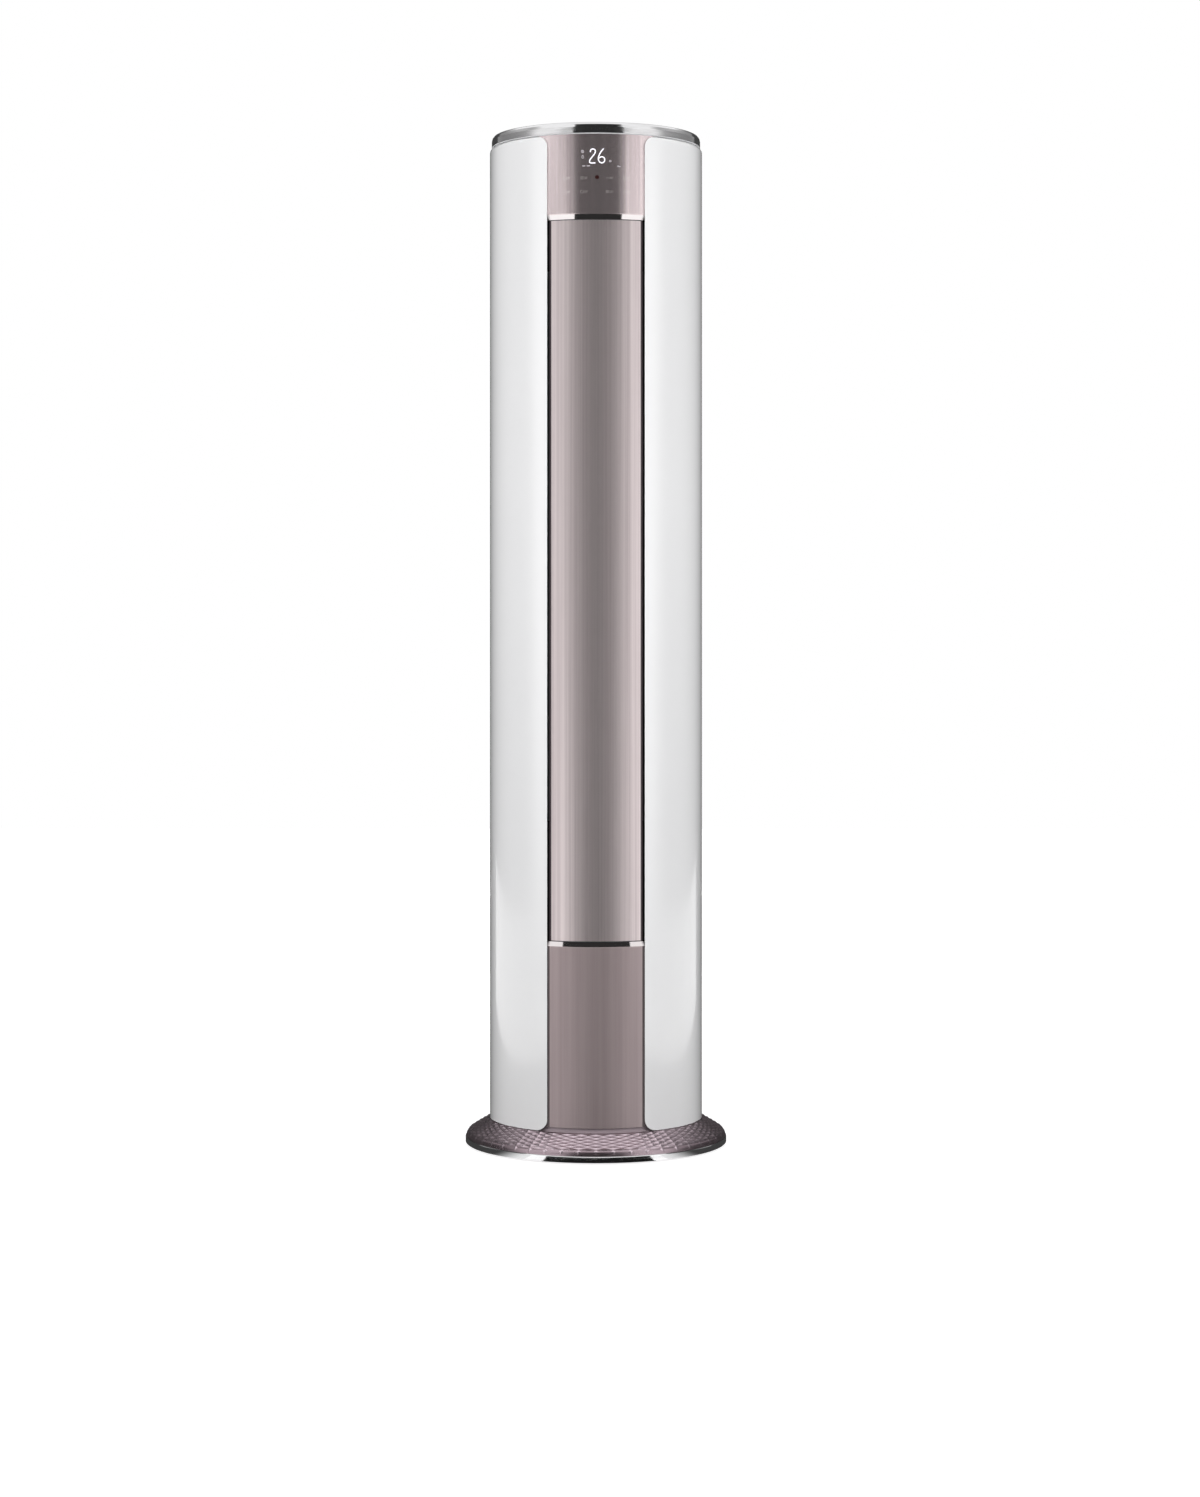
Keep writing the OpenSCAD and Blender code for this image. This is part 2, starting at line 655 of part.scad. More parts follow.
module pipe_grommet() color("black") difference() {
    translate([0, skin_in - 9, outlet_z]) rotate([-90, 0, 0]) union() {
        cylinder(h = 14, r = outlet_r + 3 - seat);
        translate([0, 0, 6]) cylinder(h = 9, r = outlet_r + 8);
    }
    translate([0, skin_in - 20, outlet_z]) rotate([-90, 0, 0]) cylinder(h = 40, r = outlet_r);
    difference() {
        rod([0, 0], outlet_z - 60, outlet_z + 60, body_r + seat, $fn = 720);
        translate([0, 0, outlet_z]) rotate([-90, 0, 0]) cylinder(h = body_r + 10, r = outlet_r + 2.9);
    }
}

module cable_gland() color("black") rotate([0, 0, gland_az - 90]) translate([0, 0, outlet_z])
    rotate([0, 90, 0]) difference() {
        union() {
            translate([0, 0, body_r + seat]) cylinder(h = 6, r = 12, $fn = 6);
            translate([0, 0, skin_in - 8]) cylinder(h = skin_t + 18, r = gland_r);
            translate([0, 0, skin_in - 6]) cylinder(h = 5, r = 12, $fn = 6);
        }
        translate([0, 0, skin_in - 20]) cylinder(h = 50, r = 4);
    }

// Strap that ties the top of the column to the wall behind.
bracket_z = side_top - 59;
module wall_bracket() color("silver") difference() {
    union() {
        translate([-50, body_r + 4, bracket_z]) cube([100, 2, 30]);
        translate([-20, body_r - 6, bracket_z]) cube([40, 11, 30]);
    }
    rod([0, 0], bracket_z - over, bracket_z + 31, body_r + seat, $fn = 720);
    for (x = [-38, 38]) translate([x, body_r, bracket_z + 15]) rotate([-90, 0, 0]) cylinder(h = 10, r = 3.5);
}

module case_screws() color("silver") at_screws() {
    translate([0, 0, skin_in - 6]) cylinder(h = 8, r = screw_r - 0.1);
    translate([0, 0, body_r + 0.1]) cylinder(h = 1.8, r = 3.6);
    translate([0, 0, skin_in]) cylinder(h = skin_t + 1, r = screw_r - 0.1);
}

// Foot: a pressed dome on a bright rim, round a steel base plate on rubber feet.
rim_z = 3;
module base_plate() color("dimgray") difference() {
    union() {
        rod([0, 0], base_plate_z, plate_top, plinth_r);
        tube(plinth_r - 2.5, plinth_r, base_plate_z, base_h + 13);
    }
    for (k = [0 : 3])
        rod(at(anchor_pcd / 2, 45 + 90 * k), base_plate_z - over, plate_top + over, anchor_hole_r);
}

skirt_wall = 2.5;
skirt_r = base_d / 2 - 1.5;
skirt_turn = 90 - foot_slope;
function skirt_arc(r, a) = [skirt_r - foot_round_r, rim_z + rim_h] + r * [cos(a), sin(a)];
function slope_z(p, r) = p[1] + (p[0] - r) * tan(foot_slope);
module base_skirt() color("tan") {
    inner_r = foot_round_r - skirt_wall;
    outer_turn = skirt_arc(foot_round_r, skirt_turn);
    inner_turn = skirt_arc(inner_r, skirt_turn);
    top_z = slope_z(outer_turn, body_r);
    rotate_extrude() {
        polygon(concat([[plinth_r + seat, top_z - skirt_wall], [plinth_r + seat, top_z], [body_r, top_z]],
            [for (i = [0 : 6]) skirt_arc(foot_round_r, skirt_turn * (1 - i / 6))],
            [for (i = [0 : 6]) skirt_arc(inner_r, skirt_turn * i / 6)],
            [[body_r - 0.6, slope_z(inner_turn, body_r)]]));
        translate([skirt_r - 4.5, rim_z]) square([2.7, rim_h + 1]);
    }
    for (k = [0 : 11]) rotate([0, 0, 30 * k + 15]) rotate([90, 0, 0]) translate([0, 0, -1])
        linear_extrude(2) polygon([[plinth_r + seat, base_plate_z], [skirt_r - 4, base_plate_z],
            [skirt_r - 4, rim_z + rim_h], [inner_turn[0] - 6, inner_turn[1] + 1.2],
            [body_r, top_z - 1.5], [plinth_r + seat, top_z - 1.5]]);
}

module base_trim_ring() color("white") rotate_extrude() {
    r1 = base_d / 2;
    polygon([[r1 - 3, rim_z], [r1 - 1, rim_z], [r1, rim_z + 1], [r1, rim_z + rim_h - 1.3],
        [r1 - 1, rim_z + rim_h - seat], [r1 - 3, rim_z + rim_h - seat]]);
}

module base_feet() color("black") for (k = [0 : 5]) rod(at(plinth_r - 16, 60 * k), 0, base_plate_z, 12);

// Door: an aluminium skin on a ribbed liner, with a tongue at the top and the bottom.
module door_skin() color("rosybrown")
    sector(door_r - door_skin_t, door_r, -door_half_az, door_half_az, door_bottom, door_top);

module door_liner() color("dimgray") {
    half = door_half_az - 0.3;
    z0 = door_bottom + 2;
    rows = 10;
    row_h = (door_h - 4) / rows;
    difference() {
        sector(liner_in, liner_r, -half, half, z0, z0 + rows * row_h);
        for (k = [0 : rows - 1], m = [-1 : 1])
            sector(liner_in - over, liner_r - 1.5, m * 17 - 7.5, m * 17 + 7.5,
                z0 + k * row_h + 3, z0 + (k + 1) * row_h - 3);
    }
    sector(tongue_in, tongue_r, -half, half, z0 + rows * row_h - 1, top_shelf_z - 3.2);
    sector(tongue_in, tongue_r, -half, half, rail_shelf_top + 2.8, z0 + 1);
}

// Teeth of the rack and the pinion. Both are shallow, so that they pass each other freely.
tooth_head = 0.6 * gear_module;
tooth_foot = 0.85 * gear_module;
tooth_half = PI * gear_module / 4 - 0.17;
rack_step = 360 / round(2 * rack_pitch_r / gear_module);
module door_rack() color("white") {
    first = -round((door_half_az + 5.4) / rack_step);
    last = round((door_half_az - 0.2) / rack_step);
    root = rack_pitch_r + tooth_foot;
    sector(root, tongue_in - seat, (first - 0.5) * rack_step, (last + 0.5) * rack_step,
        rack_z, rack_z + rack_h, $fn = 720);
    for (k = [first : last]) rotate([0, 0, k * rack_step - 90]) translate([0, 0, rack_z])
        linear_extrude(rack_h) polygon([
            [root + 0.3, -tooth_half - 0.45], [root + 0.3, tooth_half + 0.45],
            [rack_pitch_r, tooth_half], [rack_pitch_r - tooth_head, tooth_half - 0.36],
            [rack_pitch_r - tooth_head, 0.36 - tooth_half], [rack_pitch_r, -tooth_half]]);
}

module door_pinion() color("white") translate([pinion_at[0], pinion_at[1], 0]) {
    root = pinion_r - tooth_foot;
    rod([0, 0], rack_z, rack_z + rack_h, root);
    rod([0, 0], rack_z, top_shelf_top + 10, pinion_shaft_r);
    rod([0, 0], rack_z + rack_h - over, rack_z + rack_h + 4, 5);
    for (k = [0 : pinion_teeth - 1])
        rotate([0, 0, pinion_az - 90 + (k + 0.5) * 360 / pinion_teeth + mesh_turn])
            translate([0, 0, rack_z]) linear_extrude(rack_h) polygon([
                [root - 0.4, -tooth_half - 0.3], [pinion_r, -tooth_half],
                [pinion_r + tooth_head, 0.42 - tooth_half], [pinion_r + tooth_head, tooth_half - 0.42],
                [pinion_r, tooth_half], [root - 0.4, tooth_half + 0.3]]);
}

// Turn that puts a gap of the pinion on the rack's tooth nearest the line of centres.
near_tooth = round(pinion_az / rack_step);
mesh_turn = (near_tooth * rack_step - pinion_az) * rack_pitch_r / pinion_r;

// Cross-flow wheel: rings of forward-curved blades between discs on one shaft.
wheel_z0 = coil_shelf_top + 16;
wheel_z1 = motor_plate_z - 4;
module fan_wheel() color("dimgray") translate([0, fan_y, 0]) {
    disc_t = 2.5;
    step = (wheel_z1 - wheel_z0 - disc_t) / fan_sections;
    rod([0, 0], coil_shelf_top + 2.5, motor_plate_top + 28, shaft_r);
    for (k = [0 : fan_sections]) rod([0, 0], wheel_z0 + k * step, wheel_z0 + k * step + disc_t, fan_r);
    for (z = [wheel_z0 - 3, wheel_z1 - 1]) rod([0, 0], z, z + 4, 10);
    translate([0, 0, wheel_z0 + 1]) linear_extrude(wheel_z1 - wheel_z0 - 2)
        for (k = [0 : fan_blades - 1]) rotate(k * 360 / fan_blades)
            translate([fan_r - 7.5, 0]) rotate(32) square([11, 1.2], center = true);
}

// Intake grille: upright bars and bands in the rear casing's window.
grille_half = intake_half_az - 0.15;
module intake_grille() color("white") {
    z0 = intake_z0 + seat;
    z1 = intake_z1 - seat;
    column = (2 * grille_half - 2) / slot_columns;
    row_h = (z1 - z0 - 12) / slot_rows;
    difference() {
        sector(skin_in, body_r - 0.6, 180 - grille_half, 180 + grille_half, z0, z1);
        for (i = [0 : slot_columns - 1], k = [0 : slot_rows - 1])
            sector(skin_in - over, body_r + over,
                181 - grille_half + i * column + 0.5, 181 - grille_half + (i + 1) * column - 0.5,
                z0 + 9 + k * row_h, z0 + 3 + (k + 1) * row_h);
    }
    for (az = [140, 220]) sector(filter_r + seat, skin_in + over, az - 0.6, az + 0.6, z0 + 4, z1 - 4);
}

filter_r = skin_in - 9;
module intake_filter() color("slategray") {
    z0 = intake_z0 + 6;
    z1 = intake_z1 - 6;
    in_r = filter_r - 3;
    bar_step = (z1 - z0 - 4) / 4;
    for (k = [0 : 4]) sector(in_r, filter_r, 139, 221, z0 + k * bar_step, z0 + k * bar_step + 4);
    for (az = [139, 159, 179.25, 199.5, 219.5]) sector(in_r, filter_r, az, az + 1.5, z0, z1);
    sector(in_r + 1.2, in_r + 1.8, 139.5, 220.5, z0 + 1, z1 - 1);
}

// A tilting louvre: a lens blade across the outlet, its pins and a crank behind it.
arm_x = [54, 57];
module louvre(j) translate([0, louvre_y, louvre_z(j)]) {
    half = window_x - 1.5;
    translate([-half, 0, 0]) rotate([90, 0, 90]) linear_extrude(2 * half) lens(louvre_chord, blade_t);
    pin = cheek_x - half + 4;
    translate([-cheek_x, 0, 0]) rotate([0, 90, 0]) cylinder(h = pin, r = pivot_r);
    translate([half - 4, 0, 0]) rotate([0, 90, 0])
        cylinder(h = pin + (j == motor_louvre ? 5 : 0), r = pivot_r);
    translate([arm_x[0], 0, 0]) rotate([90, 0, 90]) {
        linear_extrude(arm_x[1] - arm_x[0]) union() {
            circle(4.5);
            strip([0, 0], [louvre_crank, 0], 5);
            translate([louvre_crank, 0]) circle(3);
        }
        translate([louvre_crank, 0, 1]) cylinder(h = arm_x[1] - arm_x[0] + 4, r = link_pin_r);
    }
}

module louvre_link() color("whitesmoke") {
    x = arm_x[1] + slide_gap;
    y = louvre_y + louvre_crank;
    difference() {
        translate([x, y - 3.2, louvre_z(0) - 7]) cube([3, 6.4, (louvre_count - 1) * louvre_pitch + 14]);
        for (j = [0 : louvre_count - 1]) translate([x - over, y, louvre_z(j)]) rotate([0, 90, 0])
            cylinder(h = 5, r = link_pin_r + link_gap);
    }
}

// A swing vane: an upright lens blade, its pins, and a crank under the sill.
arm_z = window_bottom - frame_t - 6;
module vane(i) translate([vane_axis(i)[0], vane_axis(i)[1], 0]) {
    translate([0, 0, window_bottom + 0.5]) rotate(90) linear_extrude(window_h - 1) lens(vane_chord, blade_t);
    rod([0, 0], window_top - 5, motor_plate_z - seat, pivot_r);
    rod([0, 0], i == 0 ? coil_shelf_top + 9.5 : arm_z, window_bottom + 5, pivot_r);
    translate([0, 0, arm_z]) linear_extrude(3) union() {
        circle(4.5);
        strip([0, 0], [0, vane_crank], 5);
        translate([0, vane_crank]) circle(3);
    }
    rod([0, vane_crank], arm_z - 4.5, arm_z + 1, link_pin_r);
}

module vane_link() color("whitesmoke") {
    pins = [for (i = [0 : vane_count - 1]) vane_axis(i) + [0, vane_crank]];
    translate([0, 0, arm_z - slide_gap - 3]) linear_extrude(3) difference() {
        union() {
            for (i = [1 : vane_count - 1]) strip(pins[i - 1], pins[i], 6);
            for (p = pins) translate(p) circle(3.4);
        }
        for (p = pins) translate(p) circle(link_pin_r + link_gap);
    }
}

module louvre_1() color("gray") louvre(0);
module louvre_2() color("gray") louvre(1);
module louvre_3() color("gray") louvre(2);
module louvre_4() color("gray") louvre(3);
module louvre_5() color("gray") louvre(4);
module louvre_6() color("gray") louvre(5);
module louvre_7() color("gray") louvre(6);
module louvre_8() color("gray") louvre(7);
module vane_1() color("darkgray") vane(0);
module vane_2() color("darkgray") vane(1);
module vane_3() color("darkgray") vane(2);
module vane_4() color("darkgray") vane(3);

base_plate();
base_skirt();
base_trim_ring();
base_feet();
left_side_panel();
right_side_panel();
rear_casing();
top_cover();
top_trim_ring();
display_panel();
display_board();
lower_front_panel();
outlet_frame();
left_upright();
right_upright();
rail_shelf();
coil_shelf();
motor_plate();
top_shelf();
door_rail_top();
door_rail_bottom();
scroll_wall();
tongue_wall();
evaporator_coil();
evaporator_bends();
drain_pan();
drain_hose();
refrigerant_pipes();
fan_motor();
fan_bearing();
door_motor();
louvre_motor();
vane_motor();
control_box();
control_board();
pipe_grommet();
cable_gland();
wall_bracket();
case_screws();
door_skin();
door_liner();
door_rack();
door_pinion();
fan_wheel();
intake_grille();
intake_filter();
louvre_link();
vane_link();
louvre_1();
louvre_2();
louvre_3();
louvre_4();
louvre_5();
louvre_6();
louvre_7();
louvre_8();
vane_1();
vane_2();
vane_3();
vane_4();
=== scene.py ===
# Round floor standing air conditioner: finishes, foot relief, display figures, studio.
import bpy
import bmesh
import json
import math
from mathutils import Matrix, Vector


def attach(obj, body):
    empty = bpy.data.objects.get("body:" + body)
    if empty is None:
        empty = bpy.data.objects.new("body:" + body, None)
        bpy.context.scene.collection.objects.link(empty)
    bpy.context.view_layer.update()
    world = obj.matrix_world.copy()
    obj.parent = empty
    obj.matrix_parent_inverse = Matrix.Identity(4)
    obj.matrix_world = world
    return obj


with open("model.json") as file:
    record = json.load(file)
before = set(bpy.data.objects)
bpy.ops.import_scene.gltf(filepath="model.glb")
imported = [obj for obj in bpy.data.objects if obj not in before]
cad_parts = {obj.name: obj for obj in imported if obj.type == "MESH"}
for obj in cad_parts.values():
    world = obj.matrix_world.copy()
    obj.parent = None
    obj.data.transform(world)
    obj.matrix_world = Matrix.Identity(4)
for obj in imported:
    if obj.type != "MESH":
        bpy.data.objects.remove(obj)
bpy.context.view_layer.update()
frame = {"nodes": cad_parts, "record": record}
nodes = frame["nodes"]
print("frame loaded:", len(nodes), "nodes")


# sRGB values from 0 to 255, as a linear colour
def shade(red, green, blue):
    def channel(value):
        value /= 255
        return value / 12.92 if value < 0.04 else ((value + 0.055) / 1.055) ** 2.4
    return (channel(red), channel(green), channel(blue), 1.0)


# a linear colour made darker or lighter
def scaled(colour, factor):
    return tuple(min(1, part * factor) for part in colour[:3]) + (1,)


# a shader node with its settings
def addNode(tree, kind, **settings):
    node = tree.nodes.new(kind)
    for label, value in settings.items():
        setattr(node, label, value)
    return node


# a socket's source is linked, a plain value is set
def feed(tree, socket, value):
    if isinstance(value, bpy.types.NodeSocket):
        tree.links.new(value, socket)
    else:
        socket.default_value = value


def calculate(tree, operation, *values):
    node = addNode(tree, "ShaderNodeMath", operation=operation)
    for socket, value in zip(node.inputs, values):
        feed(tree, socket, value)
    return node.outputs[0]


def mapValue(tree, value, low, high, outLow, outHigh, interpolation="LINEAR"):
    span = addNode(tree, "ShaderNodeMapRange", interpolation_type=interpolation)
    for label, number in (("Value", value), ("From Min", low), ("From Max", high), ("To Min", outLow),
                          ("To Max", outHigh)):
        feed(tree, span.inputs[label], number)
    return span.outputs[0]


def smoothValue(tree, value, low, high, outLow, outHigh):
    return mapValue(tree, value, low, high, outLow, outHigh, "SMOOTHSTEP")


def objectPlace(tree):
    return addNode(tree, "ShaderNodeTexCoord").outputs["Object"]


# X, Y and Z of the Object coordinates
def objectAxes(tree):
    split = addNode(tree, "ShaderNodeSeparateXYZ")
    tree.links.new(objectPlace(tree), split.inputs[0])
    return split.outputs


def mixColours(tree, factor, first, second):
    mix = addNode(tree, "ShaderNodeMix", data_type="RGBA")
    for number, value in ((0, factor), (6, first), (7, second)):
        feed(tree, mix.inputs[number], value)
    return mix.outputs[2]


# camera: level, at the photograph's distance, shifted down to the object
camera = {"lens": 73.2, "sensor": 36, "distance": 5.4, "height": 0.93, "shiftX": 0.0027, "shiftY": -0.0875,
          "farClip": 60}


def placeCamera(values):
    data = bpy.data.cameras.new("productCamera")
    data.lens = values["lens"]
    data.sensor_width = values["sensor"]
    data.sensor_fit = "AUTO"
    data.shift_x = values["shiftX"]
    data.shift_y = values["shiftY"]
    data.clip_end = values["farClip"]
    viewer = bpy.data.objects.new("productCamera", data)
    viewer.location = (0, -values["distance"], values["height"])
    viewer.rotation_euler = (math.radians(90), 0, 0)
    bpy.context.scene.collection.objects.link(viewer)
    bpy.context.scene.camera = viewer


placeCamera(camera)
bpy.context.scene.view_settings.view_transform = "Standard"

# studio: soft boxes by angle from the front, distance and watts, and one overhead by side, height and watts
studio = {"boxes": {"softBoxLeft": (-53, 2.5, 48), "softBoxRight": (53, 2.5, 48),
                    "softBoxBack": (180, 2.6, 36)},
          "boxWidth": 1.2, "boxHeight": 1.9, "boxZ": 1.36, "aimZ": 1.1, "overhead": (1.6, 4.2, 48),
          "roomLight": 0.27, "floorSize": 16, "floorPaint": 0.2, "floorShare": 0.45,
          "floorGlow": 0.8, "glowRise": (0.6, 3.5)}
# outlines, in metres, of cloths that only reflections see: upright in front, and laid on the floor
cloth = {"distance": 4.8, "lift": 0.0005, "dark": 0.03, "black": 0.01, "pale": 0.7,
         "upright": [(-2.2, 0.0), (2.75, 0.0), (2.75, 2.72), (4.0, 2.95), (4.0, 4.3), (2.75, 4.3),
                     (2.75, 9.0), (-2.2, 9.0), (-2.2, 4.3), (-3.85, 4.3), (-3.85, 2.95), (-2.2, 2.72)],
         "left": [(-8.0, 0.0), (-2.25, 0.0), (-2.25, 2.7), (-8.0, 2.7)],
         "floor": [(-0.097, 0.31), (0.097, 0.31), (2.75, 4.8), (-2.2, 4.8)],
         "rim": [(-0.087, 0.2), (0.1, 0.2), (0.175, 0.3), (-0.157, 0.3)],
         "shadow": [(-0.11, 0.157), (-1.0, 1.43), (-1.5, -1.5), (-4.3, -4.75), (4.3, -4.75), (1.5, -1.5),
                    (1.0, 1.43), (0.11, 0.157)],
         "shadowTurn": (0.62, 0.98), "shadowPale": 0.95, "shadowDark": 0.055}
# walls that only reflections see: the sides have a pale band high up and darken towards the back
walls = {"sideX": 4.4, "front": -2.2, "back": 4.8, "height": 6.5, "dusk": 0.07, "far": 0.34, "farFrom": 3.2,
         "lowTop": 2.1, "highFrom": 2.9, "highTo": 3.5, "darkFrom": 4.6, "fade": 1.6,
         "behind": {"height": 9.5, "darkTo": 3.4, "paleFrom": 9.0, "dark": 0.06}}


# a soft box that lights the object without being mirrored in it
def softBox(name, place, aim, size, watts):
    data = bpy.data.lights.new(name, "AREA")
    data.shape = "RECTANGLE"
    data.size, data.size_y = size
    data.energy = watts
    lamp = bpy.data.objects.new(name, data)
    lamp.location = place
    lamp.rotation_euler = (Vector(aim) - lamp.location).to_track_quat("-Z", "Y").to_euler()
    lamp.visible_glossy = False
    bpy.context.scene.collection.objects.link(lamp)


def hangSoftBoxes(values):
    for name, (angle, distance, watts) in values["boxes"].items():
        turn = math.radians(angle)
        softBox(name, (distance * math.sin(turn), -distance * math.cos(turn), values["boxZ"]),
                (0, 0, values["aimZ"]), (values["boxWidth"], values["boxHeight"]), watts)
    side, height, watts = values["overhead"]
    softBox("softBoxOverhead", (0, 0, height), (0, 0, 0), (side, side), watts)


# which rays see the background and its mirror image
def seenRays(tree):
    rays = addNode(tree, "ShaderNodeLightPath").outputs
    seen = calculate(tree, "MAXIMUM", rays["Is Camera Ray"], rays["Is Glossy Ray"])
    return calculate(tree, "MAXIMUM", seen, rays["Is Transmission Ray"])


# the background and its mirror image are white; what lights the object is set apart
def lightRoom(values):
    world = bpy.data.worlds.new("studioRoom")
    bpy.context.scene.world = world
    world.use_nodes = True
    tree = world.node_tree
    tree.nodes.clear()
    pick = addNode(tree, "ShaderNodeMixShader")
    tree.links.new(seenRays(tree), pick.inputs[0])
    for number, strength in ((1, values["roomLight"]), (2, 1.0)):
        background = addNode(tree, "ShaderNodeBackground")
        background.inputs["Color"].default_value = (1, 1, 1, 1)
        background.inputs["Strength"].default_value = strength
        tree.links.new(background.outputs[0], pick.inputs[number])
    output = addNode(tree, "ShaderNodeOutputWorld")
    tree.links.new(pick.outputs[0], output.inputs["Surface"])


def emptyMaterial(name):
    material = bpy.data.materials.new(name)
    material.use_nodes = True
    material.node_tree.nodes.clear()
    return material, material.node_tree


# pale floor: white to the eye and in reflections, with the object's shadow kept on it
def floorMaterial(values):
    material, tree = emptyMaterial("paleFloor")
    away = addNode(tree, "ShaderNodeVectorMath", operation="LENGTH")
    tree.links.new(objectPlace(tree), away.inputs[0])
    near, far = values["glowRise"]
    glow = addNode(tree, "ShaderNodeEmission")
    feed(tree, glow.inputs["Strength"],
         mapValue(tree, away.outputs["Value"], near, far, values["floorGlow"], 1.0))
    paint = addNode(tree, "ShaderNodeBsdfDiffuse")
    fainter = addNode(tree, "ShaderNodeBsdfDiffuse")
    for diffuse, level in ((paint, values["floorPaint"]), (fainter, values["floorShare"])):
        diffuse.inputs["Color"].default_value = (level, level, level, 1)
    both = addNode(tree, "ShaderNodeAddShader")
    tree.links.new(fainter.outputs[0], both.inputs[0])
    tree.links.new(glow.outputs[0], both.inputs[1])
    pick = addNode(tree, "ShaderNodeMixShader")
    tree.links.new(seenRays(tree), pick.inputs[0])
    tree.links.new(paint.outputs[0], pick.inputs[1])
    tree.links.new(both.outputs[0], pick.inputs[2])
    output = addNode(tree, "ShaderNodeOutputMaterial")
    tree.links.new(pick.outputs[0], output.inputs["Surface"])
    return material


# a stage sheet's material, and the socket that sets how bright it looks
def sheetMaterial(name):
    material, tree = emptyMaterial(name)
    glow = addNode(tree, "ShaderNodeEmission")
    output = addNode(tree, "ShaderNodeOutputMaterial")
    tree.links.new(glow.outputs[0], output.inputs["Surface"])
    return material, tree, glow.inputs["Strength"]


def clothMaterial(name, level):
    material, tree, strength = sheetMaterial(name)
    feed(tree, strength, level)
    return material


# floor cloth beside and behind the foot, pale towards the front
def shadowMaterial(values):
    material, tree, strength = sheetMaterial("shadowCloth")
    axes = objectAxes(tree)
    aside = calculate(tree, "ABSOLUTE", axes["X"])
    forward = calculate(tree, "MULTIPLY", axes["Y"], -1)
    turn = calculate(tree, "ARCTAN2", aside, forward)
    start, end = values["shadowTurn"]
    feed(tree, strength, smoothValue(tree, turn, start, end, values["shadowPale"], values["shadowDark"]))
    return material


def wallMaterial(values):
    material, tree, strength = sheetMaterial("studioWall")
    axes = objectAxes(tree)
    front = values["front"]
    pale = smoothValue(tree, axes["Y"], front, values["farFrom"], 1.0, values["far"])
    dusky = smoothValue(tree, axes["Y"], front, front + values["fade"], 1.0, values["dusk"])
    rise = smoothValue(tree, axes["Z"], values["lowTop"], values["highFrom"], 0.0, 1.0)
    fall = smoothValue(tree, axes["Z"], values["highTo"], values["darkFrom"], 1.0, 0.0)
    level = addNode(tree, "ShaderNodeMix")
    for number, value in ((0, calculate(tree, "MULTIPLY", rise, fall)), (2, dusky), (3, pale)):
        feed(tree, level.inputs[number], value)
    feed(tree, strength, level.outputs[0])
    return material


# wall behind: dark low down, white at the top
def behindMaterial(values):
    material, tree, strength = sheetMaterial("wallBehind")
    height = objectAxes(tree)["Z"]
    feed(tree, strength, smoothValue(tree, height, values["darkTo"], values["paleFrom"], values["dark"], 1.0))
    return material


# a flat stage piece with the given outline
def stageSheet(name, outline, place, material):
    mesh = bpy.data.meshes.new(name)
    shape = bmesh.new()
    shape.faces.new([shape.verts.new((x, y, 0)) for x, y in outline])
    bmesh.ops.transform(shape, matrix=place, verts=shape.verts)
    shape.to_mesh(mesh)
    shape.free()
    sheet = bpy.data.objects.new(name, mesh)
    sheet.data.materials.append(material)
    bpy.context.scene.collection.objects.link(sheet)
    return sheet


def buildStudio(values, cloths, sides):
    hangSoftBoxes(values)
    lightRoom(values)
    half = values["floorSize"] / 2
    stageSheet("studioFloor", [(-half, -half), (half, -half), (half, half), (-half, half)],
               Matrix.Identity(4), floorMaterial(values))
    dark = clothMaterial("darkCloth", cloths["dark"])
    black = clothMaterial("blackCloth", cloths["black"])
    pale = clothMaterial("paleCloth", cloths["pale"])
    shadow = shadowMaterial(cloths)
    wall = wallMaterial(sides)
    upright = Matrix.Rotation(math.radians(90), 4, "X")
    facingSide = Matrix.Rotation(math.radians(90), 4, "Z") @ upright
    inFront = Matrix.Translation((0, -cloths["distance"], 0)) @ upright
    atBack = Matrix.Translation((0, sides["back"], 0)) @ upright
    atLeft = Matrix.Translation((-sides["sideX"], 0, 0)) @ facingSide
    atRight = Matrix.Translation((sides["sideX"], 0, 0)) @ facingSide
    laid = Matrix.Translation((0, 0, cloths["lift"])) @ Matrix.Scale(-1, 4, (0, 1, 0))
    behind = sides["behind"]
    sideOutline = [(sides["front"], 0), (sides["back"], 0), (sides["back"], sides["height"]),
                   (sides["front"], sides["height"])]
    backOutline = [(-sides["sideX"], 0), (sides["sideX"], 0), (sides["sideX"], behind["height"]),
                   (-sides["sideX"], behind["height"])]
    for name, outline, place, material in (("clothUpright", cloths["upright"], inFront, dark),
                                           ("clothFloor", cloths["floor"], laid, dark),
                                           ("clothRim", cloths["rim"], laid, black),
                                           ("clothLeft", cloths["left"], inFront, pale),
                                           ("clothShadow", cloths["shadow"], laid, shadow),
                                           ("wallLeft", sideOutline, atLeft, wall),
                                           ("wallRight", sideOutline, atRight, wall),
                                           ("wallBehind", backOutline, atBack, behindMaterial(behind))):
        sheet = stageSheet(name, outline, place, material)
        sheet.visible_camera = False
        sheet.visible_diffuse = False
        sheet.visible_shadow = False


buildStudio(studio, cloth, walls)
print("camera and studio placed")


# shader groups shared by the finishes
def newGroup(name, inputs, outputs):
    group = bpy.data.node_groups.new(name, "ShaderNodeTree")
    for label, kind, value in inputs:
        socket = group.interface.new_socket(name=label, in_out="INPUT", socket_type=kind)
        socket.default_value = value
    for label, kind in outputs:
        group.interface.new_socket(name=label, in_out="OUTPUT", socket_type=kind)
    return group, group.nodes.new("NodeGroupInput").outputs, group.nodes.new("NodeGroupOutput").inputs


def addNoise(tree, place, scale, detail, roughness=0.5):
    noise = addNode(tree, "ShaderNodeTexNoise")
    for label, value in (("Vector", place), ("Scale", scale), ("Detail", detail), ("Roughness", roughness)):
        feed(tree, noise.inputs[label], value)
    return noise.outputs["Fac"]


